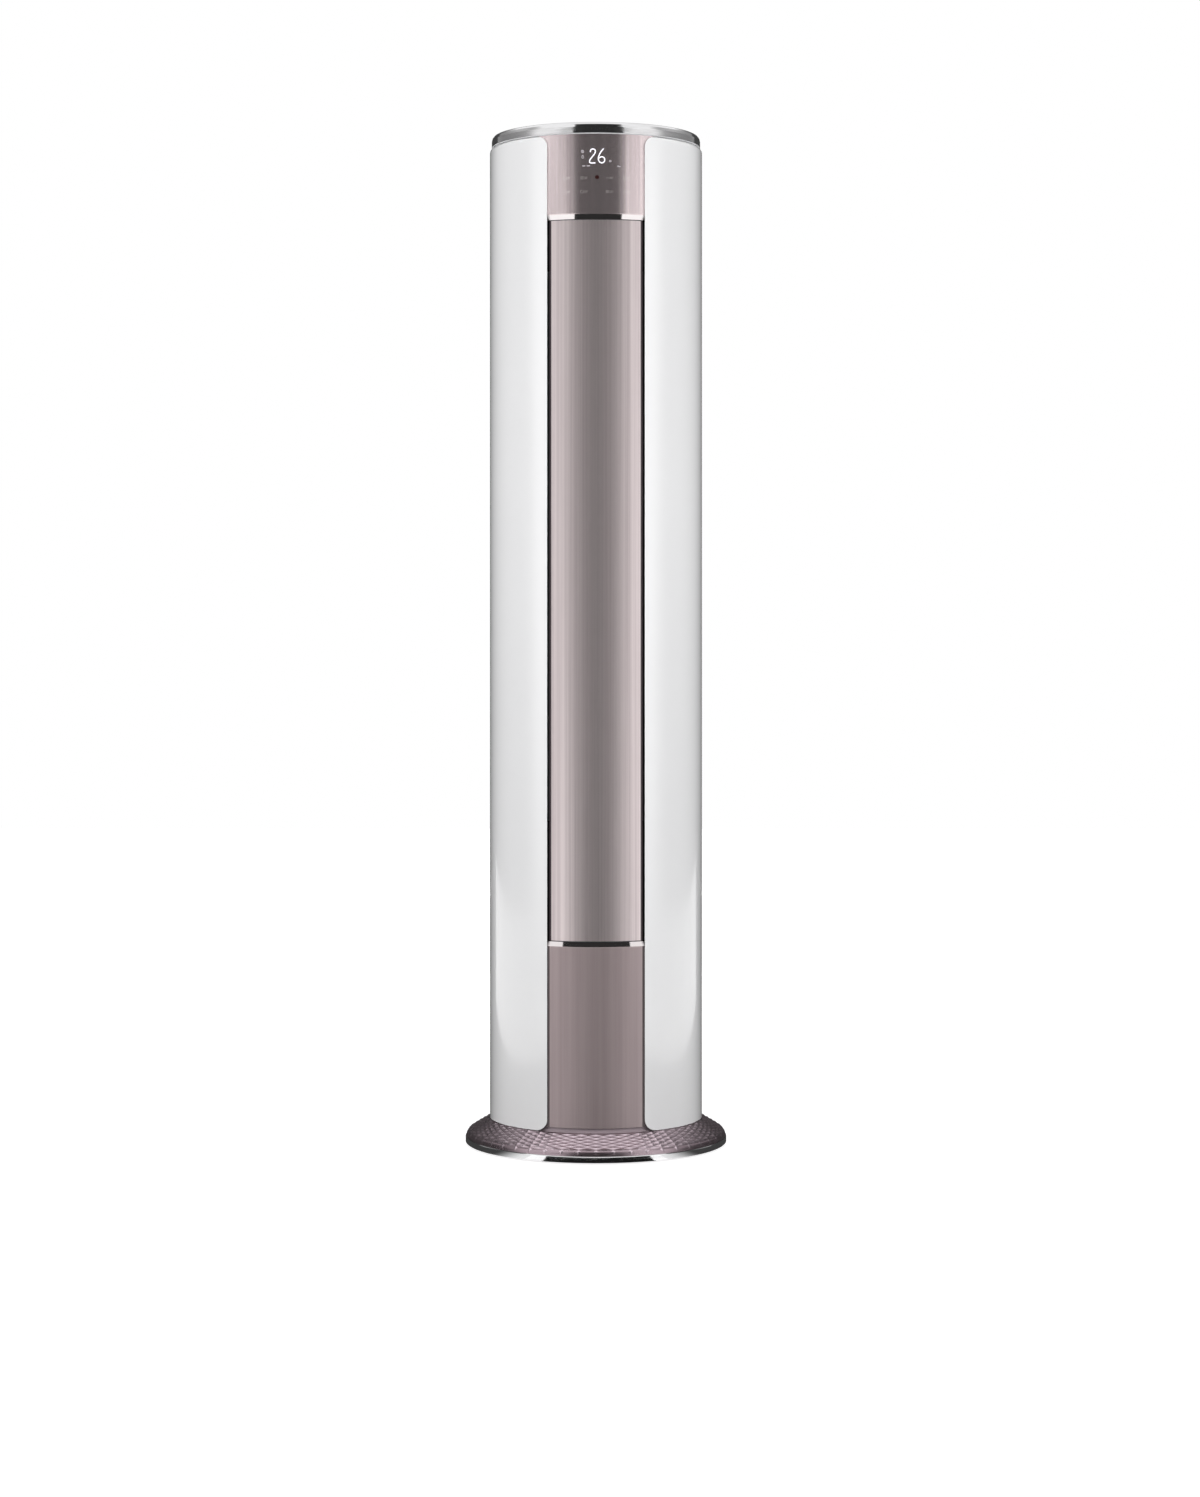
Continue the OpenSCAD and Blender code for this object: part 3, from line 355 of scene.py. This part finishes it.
def addBump(tree, height, distance, strength=1.0):
    bump = addNode(tree, "ShaderNodeBump")
    for label, value in (("Height", height), ("Distance", distance), ("Strength", strength)):
        feed(tree, bump.inputs[label], value)
    return bump.outputs["Normal"]


grain = {"detail": 3, "mottleDetail": 5, "mottleRough": 0.6, "bump": 0.0002, "span": (0.3, 0.7)}
brush = {"detail": 4, "rough": 0.65, "fineShare": 0.36, "broad": 0.16, "broadDetail": 2, "broadShare": 0.7,
         "bump": 0.0001, "span": (0.38, 0.68)}
dust = {"patches": 35, "detail": 6, "colour": (0.62, 0.59, 0.55, 1)}


# fine skin of a painted or moulded surface: a mottled mask and a small bump
def grainGroup(values):
    group, given, result = newGroup(
        "fineGrain",
        [("Grain Size", "NodeSocketFloat", 900.0), ("Depth", "NodeSocketFloat", 0.1),
         ("Mottle Size", "NodeSocketFloat", 6.0)],
        [("Mottle", "NodeSocketFloat"), ("Normal", "NodeSocketVector")])
    place = objectPlace(group)
    fine = addNoise(group, place, given["Grain Size"], values["detail"])
    mottle = addNoise(group, place, given["Mottle Size"], values["mottleDetail"], values["mottleRough"])
    feed(group, result["Mottle"], mottle)
    feed(group, result["Normal"], addBump(group, fine, values["bump"], given["Depth"]))
    return group


# brushed lines along one axis: a streak mask and a normal
def brushGroup(values):
    group, given, result = newGroup(
        "brushedLines",
        [("Line Scale", "NodeSocketVector", (900, 900, 4)), ("Depth", "NodeSocketFloat", 0.15)],
        [("Streak", "NodeSocketFloat"), ("Normal", "NodeSocketVector")])
    stretch = addNode(group, "ShaderNodeVectorMath", operation="MULTIPLY")
    feed(group, stretch.inputs[0], objectPlace(group))
    feed(group, stretch.inputs[1], given["Line Scale"])
    fine = addNoise(group, stretch.outputs[0], 1, values["detail"], values["rough"])
    broad = addNoise(group, stretch.outputs[0], values["broad"], values["broadDetail"])
    share = calculate(group, "MULTIPLY", fine, values["fineShare"])
    feed(group, result["Streak"], calculate(group, "MULTIPLY_ADD", broad, values["broadShare"], share))
    feed(group, result["Normal"], addBump(group, fine, values["bump"], given["Depth"]))
    return group


# light dust that gathers low down on an object that stands on the floor; where its amount is raised, as on
# the white panels, it is also painted shade, darker towards the bottom
def dustAndShadeGroup(values):
    group, given, result = newGroup(
        "floorDustAndShade",
        [("Color", "NodeSocketColor", (0.8, 0.8, 0.8, 1)), ("Reach", "NodeSocketFloat", 0.25),
         ("Amount", "NodeSocketFloat", 0.1)],
        [("Color", "NodeSocketColor")])
    fade = mapValue(group, objectAxes(group)["Z"], 0, given["Reach"], 1, 0)
    patch = addNoise(group, objectPlace(group), values["patches"], values["detail"])
    strength = calculate(group, "MULTIPLY", calculate(group, "MULTIPLY", fade, patch), given["Amount"])
    feed(group, result["Color"], mixColours(group, strength, given["Color"], values["colour"]))
    return group


groups = {"grain": grainGroup(grain), "brush": brushGroup(brush), "dust": dustAndShadeGroup(dust)}


def useGroup(tree, name, **values):
    node = addNode(tree, "ShaderNodeGroup", node_tree=groups[name])
    for label, value in values.items():
        feed(tree, node.inputs[label.replace("_", " ")], value)
    return node.outputs


def startMaterial(name, roughness, metallic=0.0):
    material = bpy.data.materials.new(name)
    material.use_nodes = True
    inputs = material.node_tree.nodes["Principled BSDF"].inputs
    inputs["Roughness"].default_value = roughness
    inputs["Metallic"].default_value = metallic
    return material, material.node_tree, inputs


# a group's mottle or streak mask, spread from low to high
def spreadMottle(tree, skin, low, high):
    return mapValue(tree, skin["Mottle"], *grain["span"], low, high)


def spreadStreak(tree, lines, low, high):
    return mapValue(tree, lines["Streak"], *brush["span"], low, high)


# what a coated finish has where its own look says nothing else
coated = {"metal": 0.0, "grain": 900.0, "depth": 0.1, "mottle": 5.0, "spread": 0.03, "dust": 0.05,
          "dustAndShadeReach": 0.35, "uneven": 0.04, "coatRough": 0.08}


# painted metal and moulded plastic: mottled colour, uneven gloss, fine bump, floor dust that also serves as
# painted shade low down
def coatedFinish(name, ownLook):
    look = {**coated, **ownLook}
    material, tree, inputs = startMaterial(name, look["rough"], look["metal"])
    skin = useGroup(tree, "grain", Grain_Size=look["grain"], Depth=look["depth"], Mottle_Size=look["mottle"])
    colour = shade(*look["colour"])
    tint = mixColours(tree, spreadMottle(tree, skin, 0, 1), scaled(colour, 1 - look["spread"]),
                      scaled(colour, 1 + look["spread"]))
    dustyAndShaded = useGroup(tree, "dust", Color=tint, Reach=look["dustAndShadeReach"], Amount=look["dust"])
    feed(tree, inputs["Base Color"], dustyAndShaded["Color"])
    feed(tree, inputs["Roughness"],
         spreadMottle(tree, skin, look["rough"] - look["uneven"], look["rough"] + look["uneven"]))
    feed(tree, inputs["Normal"], skin["Normal"])
    if "coat" in look:
        inputs["Coat Weight"].default_value = look["coat"]
        inputs["Coat Roughness"].default_value = look["coatRough"]
    return material


gapShadowWidth = 0.0003


# painted shadow of the gap beside a front piece: darkens its two upright edges, further from its middle than
# the distance its look gives
def addGapShadow(tree, painted, look):
    if "hem" not in look:
        return painted
    aside = calculate(tree, "ABSOLUTE", objectAxes(tree)["X"])
    edge = mapValue(tree, aside, look["hem"], look["hem"] + gapShadowWidth, 0, 1)
    return mixColours(tree, edge, painted, shade(*look["hemShade"]))


# brushed metal: streaked colour and gloss, lines along one axis
def brushedFinish(name, look):
    material, tree, inputs = startMaterial(name, look["rough"], look["metal"])
    lines = useGroup(tree, "brush", Line_Scale=look["lines"], Depth=look["depth"])
    tint = mixColours(tree, spreadStreak(tree, lines, 0, 1), shade(*look["dark"]), shade(*look["light"]))
    duller, glossier = look["uneven"]
    feed(tree, inputs["Base Color"], addGapShadow(tree, tint, look))
    feed(tree, inputs["Roughness"],
         spreadStreak(tree, lines, look["rough"] + duller, look["rough"] - glossier))
    feed(tree, inputs["Normal"], lines["Normal"])
    return material


# lacquered metal with a painted highlight on the raised middles of its relief and painted shade in the
# valleys
def pressedShadedFinish(name, look):
    material, tree, inputs = startMaterial(name, look["rough"], look["metal"])
    skin = useGroup(tree, "grain", Grain_Size=look["grain"], Depth=look["depth"], Mottle_Size=look["mottle"])
    peak = addNode(tree, "ShaderNodeAttribute", attribute_name="peak").outputs["Fac"]
    tint = mixColours(tree, mapValue(tree, peak, 0, look["reach"], 0, 1), shade(*look["valleyShade"]),
                      shade(*look["raisedHighlight"]))
    dustyAndShaded = useGroup(tree, "dust", Color=tint, Reach=look["dustAndShadeReach"], Amount=look["dust"])
    feed(tree, inputs["Base Color"], dustyAndShaded["Color"])
    feed(tree, inputs["Roughness"],
         spreadMottle(tree, skin, look["rough"] - look["uneven"], look["rough"] + look["uneven"]))
    feed(tree, inputs["Normal"], skin["Normal"])
    return material


# satin front panels with a polished chamfer, the lip, on the edge beside the door
def fasciaFinish(name, look):
    material, tree, inputs = startMaterial(name, look["rough"], look["metal"])
    lines = useGroup(tree, "brush", Line_Scale=look["lines"], Depth=look["depth"])
    tint = mixColours(tree, spreadStreak(tree, lines, 0, 1), shade(*look["dark"]), shade(*look["light"]))
    height = objectAxes(tree)["Z"]
    low, high = look["lip"]
    lip = calculate(tree, "MULTIPLY", calculate(tree, "GREATER_THAN", height, low),
                    calculate(tree, "LESS_THAN", height, high))
    painted = mixColours(tree, lip, addGapShadow(tree, tint, look), shade(*look["lipColour"]))
    feed(tree, inputs["Base Color"], painted)
    feed(tree, inputs["Roughness"], mapValue(tree, lip, 0, 1, look["rough"], look["lipRough"]))
    feed(tree, inputs["Metallic"], mapValue(tree, lip, 0, 1, look["metal"], 1.0))
    feed(tree, inputs["Normal"], lines["Normal"])
    return material


# outlet frame: dark moulding, its face clad in rose metal above and below the window
def outletFinish(name, look):
    material, tree, inputs = startMaterial(name, look["rough"], 0.0)
    height = objectAxes(tree)["Z"]
    plan = addNode(tree, "ShaderNodeVectorMath", operation="MULTIPLY")
    feed(tree, plan.inputs[0], objectPlace(tree))
    feed(tree, plan.inputs[1], (1, 1, 0))
    reach = addNode(tree, "ShaderNodeVectorMath", operation="LENGTH")
    feed(tree, reach.inputs[0], plan.outputs[0])
    (sill, head), (inner, outer) = look["window"], look["face"]
    clad = calculate(tree, "ADD", calculate(tree, "LESS_THAN", height, sill),
                     calculate(tree, "GREATER_THAN", height, head))
    for operation, limit in (("GREATER_THAN", inner), ("LESS_THAN", outer)):
        clad = calculate(tree, "MULTIPLY", clad, calculate(tree, operation, reach.outputs["Value"], limit))
    skin = useGroup(tree, "grain", Grain_Size=look["grain"], Depth=look["depth"], Mottle_Size=look["mottle"])
    moulding = mixColours(tree, spreadMottle(tree, skin, 0, 1), shade(*look["dark"]), shade(*look["paler"]))
    lines = useGroup(tree, "brush", Line_Scale=look["lines"], Depth=look["lineDepth"])
    metal = mixColours(tree, spreadStreak(tree, lines, 0, 1), shade(*look["rose"]), shade(*look["light"]))
    feed(tree, inputs["Base Color"], mixColours(tree, clad, moulding, addGapShadow(tree, metal, look)))
    normal = addNode(tree, "ShaderNodeMix", data_type="VECTOR")
    for number, value in ((0, clad), (4, skin["Normal"]), (5, lines["Normal"])):
        feed(tree, normal.inputs[number], value)
    feed(tree, inputs["Normal"], normal.outputs[1])
    feed(tree, inputs["Roughness"], mapValue(tree, clad, 0, 1, look["rough"], look["cladRough"]))
    feed(tree, inputs["Metallic"], mapValue(tree, clad, 0, 1, 0, look["cladMetal"]))
    return material


# stacked fins: fine dark gaps round the coil, painted shade between the fins
def finFinish(name, look):
    material, tree, inputs = startMaterial(name, look["rough"], look["metal"])
    axes = objectAxes(tree)
    turn = calculate(tree, "ARCTAN2", axes["X"], axes["Y"])
    comb = calculate(tree, "SINE", calculate(tree, "MULTIPLY", turn, look["fins"]))
    fin = mapValue(tree, comb, *look["gap"], 0, 1)
    feed(tree, inputs["Base Color"], mixColours(tree, fin, shade(*look["dark"]), shade(*look["light"])))
    feed(tree, inputs["Normal"], addBump(tree, fin, look["bump"], look["depth"]))
    return material


# washable filter: a square mesh of threads
def meshFinish(name, look):
    material, tree, inputs = startMaterial(name, look["rough"])
    axes = objectAxes(tree)
    waves = [calculate(tree, "SINE", calculate(tree, "MULTIPLY", axes[axis], look["pitch"])) for axis in "XZ"]
    thread = mapValue(tree, calculate(tree, "MAXIMUM", *waves), *look["gap"], 0, 1)
    feed(tree, inputs["Base Color"], mixColours(tree, thread, shade(*look["dark"]), shade(*look["light"])))
    feed(tree, inputs["Normal"], addBump(tree, thread, look["bump"]))
    return material


# circuit board: green lacquer with a grid of paler tracks
def boardFinish(name, look):
    material, tree, inputs = startMaterial(name, look["rough"])
    upright = addNode(tree, "ShaderNodeMapping")
    feed(tree, upright.inputs["Vector"], objectPlace(tree))
    feed(tree, upright.inputs["Rotation"], (math.radians(90), 0, 0))
    tracks = addNode(tree, "ShaderNodeTexBrick")
    for label, value in (("Vector", upright.outputs["Vector"]), ("Scale", look["scale"]),
                         ("Mortar Size", look["track"]), ("Color1", shade(*look["green"])),
                         ("Color2", shade(*look["paler"])), ("Mortar", shade(*look["trackColour"]))):
        feed(tree, tracks.inputs[label], value)
    feed(tree, inputs["Base Color"], tracks.outputs["Color"])
    return material


def addGlow(inputs, colour, strength):
    inputs["Emission Color"].default_value = colour
    inputs["Emission Strength"].default_value = strength


# a lit figure behind the panel
def glowFinish(name, look):
    material, tree, inputs = startMaterial(name, look["rough"])
    colour = shade(*look["colour"])
    inputs["Base Color"].default_value = colour
    addGlow(inputs, colour, look["glow"])
    return material


# a mark etched in the panel's metal, with a faint painted glow
def markFinish(name, look):
    material, tree, inputs = startMaterial(name, look["rough"], look["metal"])
    skin = useGroup(tree, "grain", Grain_Size=look["grain"], Depth=look["depth"], Mottle_Size=look["mottle"])
    colour = shade(*look["colour"])
    tint = mixColours(tree, spreadMottle(tree, skin, 0, 1), scaled(colour, look["darker"]), colour)
    feed(tree, inputs["Base Color"], tint)
    feed(tree, inputs["Normal"], skin["Normal"])
    addGlow(inputs, colour, look["glow"])
    return material


# looks by finish, each with the function that makes it; colours are sRGB
looks = {
    coatedFinish: {
        # the white panels' raised dust amount is also painted shade, darker towards the bottom
        "panel_white": {"colour": (238, 238, 239), "rough": 0.24, "spread": 0.008, "grain": 1500,
                        "depth": 0.05, "dust": 0.12, "uneven": 0.006, "coat": 1.0},
        "dark_plastic": {"colour": (54, 53, 55), "rough": 0.5, "depth": 0.25},
        "blade_plastic": {"colour": (138, 138, 141), "rough": 0.42, "depth": 0.15},
        "wheel_plastic": {"colour": (122, 124, 128), "rough": 0.45, "depth": 0.15},
        "white_plastic": {"colour": (226, 226, 222), "rough": 0.42},
        "liner_plastic": {"colour": (74, 74, 76), "rough": 0.55, "depth": 0.2},
        "galvanised": {"colour": (176, 182, 186), "rough": 0.4, "metal": 0.9, "spread": 0.14, "mottle": 55,
                       "depth": 0.06},
        "foot_steel": {"colour": (170, 154, 161), "rough": 0.5, "depth": 0.2},
        "cover_plastic": {"colour": (206, 206, 208), "rough": 0.4, "depth": 0.2},
        "foam_grey": {"colour": (206, 207, 209), "rough": 0.85, "grain": 420, "depth": 0.6, "spread": 0.06},
        "copper": {"colour": (206, 128, 92), "rough": 0.28, "metal": 1.0, "spread": 0.12, "mottle": 24},
        "motor_grey": {"colour": (96, 99, 103), "rough": 0.4, "metal": 0.6},
        "screw_steel": {"colour": (196, 197, 199), "rough": 0.25, "metal": 1.0},
        "rubber_black": {"colour": (38, 38, 39), "rough": 0.72, "grain": 500, "depth": 0.4},
        "lens_dark": {"colour": (52, 26, 26), "rough": 0.12, "uneven": 0.01}},
    brushedFinish: {
        # the door's darkened upright edges are painted shadow of the gaps beside the door
        "rose_brushed": {"dark": (209, 196, 197), "light": (236, 224, 224), "rough": 0.4, "metal": 0.88,
                         "uneven": (0.06, 0.05), "lines": (620, 620, 2.2), "depth": 0.14, "hem": 0.0767,
                         "hemShade": (86, 76, 80)},
        "bright_trim": {"dark": (222, 221, 222), "light": (240, 240, 241), "rough": 0.1, "metal": 1.0,
                        "uneven": (0.06, 0.05), "lines": (60, 60, 900), "depth": 0.01}},
    pressedShadedFinish: {
        # the foot's valley and raised colours are painted shade in the relief's valleys and a painted
        # highlight on its raised facets
        "foot_pressed": {"valleyShade": (182, 163, 171), "raisedHighlight": (226, 208, 217), "reach": 0.7, "rough": 0.28,
                         "metal": 1.0, "uneven": 0.03, "grain": 800, "depth": 0.08, "mottle": 9,
                         "dust": 0.04, "dustAndShadeReach": 0.12}},
    fasciaFinish: {
        "rose_display": {"dark": (212, 197, 199), "light": (236, 222, 223), "rough": 0.22, "metal": 0.9,
                         "lines": (700, 700, 6), "depth": 0.05, "lip": (1.6130, 1.6218),
                         "lipColour": (232, 226, 226), "lipRough": 0.06},
        # the lower panel's darkened upright edges are painted shadow of the grooves beside it
        "rose_lower": {"dark": (166, 151, 152), "light": (176, 161, 162), "rough": 0.5, "metal": 0.6,
                       "lines": (700, 700, 6), "depth": 0.05, "lip": (0.3650, 0.3735),
                       "lipColour": (232, 226, 226), "lipRough": 0.06, "hem": 0.0796,
                       "hemShade": (104, 94, 95)}},
    outletFinish: {
        # the clad face's darkened upright edges are painted shadow of the slots beside it
        "outlet_frame": {"dark": (96, 96, 98), "paler": (108, 108, 110), "rough": 0.5, "grain": 900,
                         "depth": 0.2, "mottle": 6, "rose": (196, 184, 185), "light": (232, 221, 222),
                         "lines": (620, 620, 2.2), "lineDepth": 0.1, "cladRough": 0.36, "cladMetal": 0.85,
                         "window": (0.5795, 1.5265), "face": (0.1693, 0.1718), "hem": 0.0755,
                         "hemShade": (62, 56, 59)}},
    finFinish: {
        # the fins' dark colour is painted shade in the gaps between them
        "fin_aluminium": {"dark": (92, 96, 100), "light": (214, 218, 221), "rough": 0.38, "metal": 0.9,
                          "fins": 520, "gap": (-0.4, 0.5), "bump": 0.0006, "depth": 0.8}},
    meshFinish: {
        "filter_mesh": {"dark": (34, 38, 44), "light": (104, 114, 124), "rough": 0.62, "pitch": 2600,
                        "gap": (0.2, 0.8), "bump": 0.0003}},
    boardFinish: {
        "board_green": {"green": (18, 84, 46), "paler": (22, 96, 54), "trackColour": (96, 140, 92),
                        "rough": 0.4, "scale": 160, "track": 0.03}},
    glowFinish: {
        "display_glow": {"colour": (238, 236, 244), "rough": 0.5, "glow": 0.6},
        "icon_glow": {"colour": (206, 200, 206), "rough": 0.5, "glow": 0.22}},
    markFinish: {
        # the touch marks' glow is painted light, as the etched marks are no lamp
        "touch_mark": {"colour": (228, 220, 218), "rough": 0.22, "metal": 0.9, "glow": 0.16, "darker": 0.92,
                       "grain": 1200, "depth": 0.05, "mottle": 40}}}
# nodes that take a finish of their own rather than their slot's
ownFinish = {"display_panel": "rose_display", "lower_front_panel": "rose_lower",
             "outlet_frame": "outlet_frame"}


# a finish's name as its material's: words joined, each with a capital after the first
def materialName(finish):
    first, *others = finish.split("_")
    return first + "".join(word.capitalize() for word in others)


finishes = {finish: make(materialName(finish), look) for make, family in looks.items()
            for finish, look in family.items()}
slotOf = {part["node"]: part["material_slot"] for part in frame["record"]["subparts"]}
for name, node in nodes.items():
    node.data.materials.clear()
    node.data.materials.append(finishes[ownFinish.get(name, slotOf[name])])
print("finishes assigned")


# a piece from a bmesh, riding on the cabinet
def addPiece(name, shape, material):
    mesh = bpy.data.meshes.new(name)
    shape.to_mesh(mesh)
    shape.free()
    piece = bpy.data.objects.new(name, mesh)
    piece.data.materials.append(material)
    bpy.context.scene.collection.objects.link(piece)
    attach(piece, "cabinet")


# foot relief: low rhombic facets pressed all round the dome, down over its rounded shoulder
footRelief = {"innerRadius": 0.1878, "slope": 30.5, "shoulderRadius": 0.013,
              "shoulderCentre": (0.2165, 0.014), "lowestTurn": 14, "columns": 48, "rows": 6,
              "facetRise": 0.0014, "lift": 0.0002, "sink": 0.0008, "weld": 0.00001}


# point of the foot's outer profile, by its share of the length from the column outwards
def footProfile(values, share):
    centreX, centreZ = values["shoulderCentre"]
    radius = values["shoulderRadius"] + values["lift"]
    slope = math.radians(values["slope"])
    topTurn = math.pi / 2 - slope
    shoulderX = centreX + radius * math.cos(topTurn)
    shoulderZ = centreZ + radius * math.sin(topTurn)
    straight = (shoulderX - values["innerRadius"]) / math.cos(slope)
    curved = radius * (topTurn - math.radians(values["lowestTurn"]))
    run = share * (straight + curved)
    if run <= straight:
        back = straight - run
        return Vector((shoulderX - back * math.cos(slope), 0, shoulderZ + back * math.sin(slope)))
    turn = topTurn - (run - straight) / radius
    return Vector((centreX + radius * math.cos(turn), 0, centreZ + radius * math.sin(turn)))


def buildFootRelief(values):
    shape = bmesh.new()
    rows = values["rows"]
    line = [shape.verts.new(footProfile(values, k / rows)) for k in range(rows + 1)]
    edges = [shape.edges.new(ends) for ends in zip(line, line[1:])]
    bmesh.ops.spin(shape, geom=line + edges, axis=(0, 0, 1), cent=(0, 0, 0), angle=math.tau,
                   steps=values["columns"], use_merge=True)
    bmesh.ops.remove_doubles(shape, verts=shape.verts, dist=values["weld"])
    oldEdges = [edge for edge in shape.edges if len(edge.link_faces) == 2]
    bmesh.ops.poke(shape, faces=shape.faces)
    bmesh.ops.dissolve_edges(shape, edges=oldEdges, use_verts=False)  # leaves rhombi across the old edges
    bmesh.ops.recalc_face_normals(shape, faces=shape.faces)
    if sum(face.normal.z for face in shape.faces) < 0:
        bmesh.ops.reverse_faces(shape, faces=shape.faces)
    rhombi = [face for face in shape.faces if len(face.verts) == 4]
    # marks the raised middles, where the foot's painted highlight goes
    peak = shape.verts.layers.float.new("peak")
    for middle in bmesh.ops.poke(shape, faces=rhombi, offset=values["facetRise"])["verts"]:
        middle[peak] = 1
    border = [edge for edge in shape.edges if edge.is_boundary]
    sunk = bmesh.ops.extrude_edge_only(shape, edges=border)["geom"]
    bmesh.ops.translate(shape, vec=(0, 0, -values["sink"]),
                        verts=[part for part in sunk if isinstance(part, bmesh.types.BMVert)])
    addPiece("footRelief", shape, finishes["foot_pressed"])


buildFootRelief(footRelief)
print("foot relief pressed")

# display: two lit figures, small icons, a receiver's lens and touch marks on the curved panel
display = {"radius": 0.1847, "centreX": 0.0019, "centreZ": 1.7205, "lift": 0.00012, "capSteps": 8,
           "ringSteps": 32}
# every stroke is a path in millimetres about the display's centre, with its width and its corners' cuts
figures = {
    "figureTens": {"width": 1.9, "cuts": 3, "path": [
        (-11.6, 7.6), (-11.2, 10.6), (-8.6, 12.4), (-5.2, 12.2), (-3.0, 10.2), (-2.9, 7.0), (-4.6, 3.6),
        (-8.4, -1.2), (-12.2, -5.8), (-13.6, -11.6), (-3.6, -11.6)]},
    "figureUnits": {"width": 1.9, "cuts": 3, "path": [
        (10.8, 12.4), (7.4, 8.8), (4.2, 3.6), (2.2, -1.8), (2.2, -6.6), (4.6, -10.4), (8.2, -11.8),
        (11.8, -10.2), (13.4, -6.8), (12.6, -3.0), (9.6, -0.9), (6.0, -1.2), (3.2, -3.6)]}}
# a ring is given by its centre and radius
icons = {
    "degree": {"width": 0.7, "ring": (22.6, -8.2, 1.5)},
    "timer": {"width": 0.7, "ring": (-25.0, 8.2, 2.2)},
    "timerHand": {"width": 0.6, "path": [(-25.0, 9.6), (-25.0, 8.2), (-24.0, 7.6)]},
    "drop": {"width": 0.7, "path": [(-24.6, 2.2), (-26.4, -1.0), (-25.8, -3.2), (-24.2, -3.6), (-22.8, -2.6),
                                    (-22.9, -0.8), (-24.6, 2.2)]},
    "barLow": {"width": 1.2, "path": [(-25.0, -16.6), (-20.6, -16.6)]},
    "barHigh": {"width": 1.2, "path": [(-17.4, -16.6), (-12.6, -16.6)]},
    "wave": {"width": 0.8, "path": [(35.0, -16.8), (36.2, -15.6), (37.6, -16.8), (39.0, -18.0),
                                    (40.4, -16.8)]}}
iconCuts = 2
# each touch mark is a ring, a roof or three lines, with two short bars beside it
touchMarks = {"columns": (-52.0, -22.0, 22.0, 52.0), "rows": (-37.0, -60.5), "aside": -4.0, "size": 2.7,
              "width": 0.9, "roof": (-1.4, 1.6), "lineGap": 1.9, "barStart": 4.4,
              "bars": ((1.1, 5.2), (-1.1, 3.64))}
receiver = {"z": -36.0, "radius": 3.4, "pinhole": 0.1}


# rounds a path's corners by cutting them several times
def softPath(points, cuts):
    for _ in range(cuts):
        cut = [points[0]]
        for first, second in zip(points, points[1:]):
            cut += [first.lerp(second, 0.25), first.lerp(second, 0.75)]
        points = cut + [points[-1]]
    return points


# a flat stroke with round ends along a path of millimetre points
def addStroke(shape, path, width, cuts=0):
    points = softPath([Vector((x, z)) / 1000 for x, z in path], cuts)
    lift, steps = display["lift"], display["capSteps"]
    sides = []
    for k, point in enumerate(points):
        along = points[min(k + 1, len(points) - 1)] - points[max(k - 1, 0)]
        across = Vector((-along.y, along.x)).normalized() * width / 2000
        sides.append([shape.verts.new((spot.x, lift, spot.y)) for spot in (point + across, point - across)])
    for (leftA, rightA), (leftB, rightB) in zip(sides, sides[1:]):
        shape.faces.new((leftA, rightA, rightB, leftB))
    for point, (left, right), way in ((points[0], sides[0], 1), (points[-1], sides[-1], -1)):
        arm = Vector((left.co.x, left.co.z)) - point
        cap = []
        for k in range(1, steps):
            spot = point + Matrix.Rotation(way * math.pi * k / steps, 2) @ arm
            cap.append(shape.verts.new((spot.x, lift, spot.y)))
        shape.faces.new([left] + cap + [right])


# a flat ring
def addRing(shape, x, z, radius, width):
    outer = []
    inner = []
    steps = display["ringSteps"]
    for k in range(steps):
        turn = math.tau * k / steps
        for ring, size in ((outer, radius + width / 2), (inner, radius - width / 2)):
            ring.append(shape.verts.new(((x + size * math.cos(turn)) / 1000, display["lift"],
                                         (z + size * math.sin(turn)) / 1000)))
    for k in range(steps):
        after = (k + 1) % steps
        shape.faces.new((outer[k], outer[after], inner[after], inner[k]))


# turns a flat shape's faces outwards and lays it on the panel's curve
def addDisplayPiece(name, shape, finish, values):
    shape.normal_update()
    bmesh.ops.reverse_faces(shape, faces=[face for face in shape.faces if face.normal.y > 0])
    for vert in shape.verts:
        across = (values["centreX"] + vert.co.x) / values["radius"]
        depth = values["radius"] + vert.co.y
        vert.co = Vector((depth * math.sin(across), -depth * math.cos(across), values["centreZ"] + vert.co.z))
    addPiece(name, shape, finishes[finish])


def addTouchMark(shape, left, z, kind, values):
    size, width = values["size"], values["width"]
    low, high = values["roof"]
    if kind == 0:
        addRing(shape, left, z, size, width)
    elif kind == 1:
        addStroke(shape, [(left - size, z + low), (left, z + high), (left + size, z + low)], width)
    else:
        for line in (-1, 0, 1):
            level = z + line * values["lineGap"]
            addStroke(shape, [(left - size, level), (left + size, level)], width)
    start = left + values["barStart"]
    for rise, length in values["bars"]:
        addStroke(shape, [(start, z + rise), (start + length, z + rise)], width)


def buildDisplay(values, marks, lens):
    for name, figure in figures.items():
        shape = bmesh.new()
        addStroke(shape, figure["path"], figure["width"], figure["cuts"])
        addDisplayPiece(name, shape, "display_glow", values)
    shape = bmesh.new()
    for icon in icons.values():
        if "ring" in icon:
            addRing(shape, *icon["ring"], icon["width"])
        else:
            addStroke(shape, icon["path"], icon["width"], iconCuts)
    addDisplayPiece("displayIcons", shape, "icon_glow", values)
    shape = bmesh.new()
    for row, z in enumerate(marks["rows"]):
        for column, x in enumerate(marks["columns"]):
            addTouchMark(shape, x + marks["aside"], z, (row + 2 * column) % 3, marks)
    addDisplayPiece("touchMarks", shape, "touch_mark", values)
    shape = bmesh.new()
    radius, pinhole = lens["radius"], lens["pinhole"]
    addRing(shape, 0, lens["z"], (radius + pinhole) / 2, radius - pinhole)
    addDisplayPiece("receiverLens", shape, "lens_dark", values)


buildDisplay(display, touchMarks, receiver)
print("display figures and marks lit")

print("scene ready")
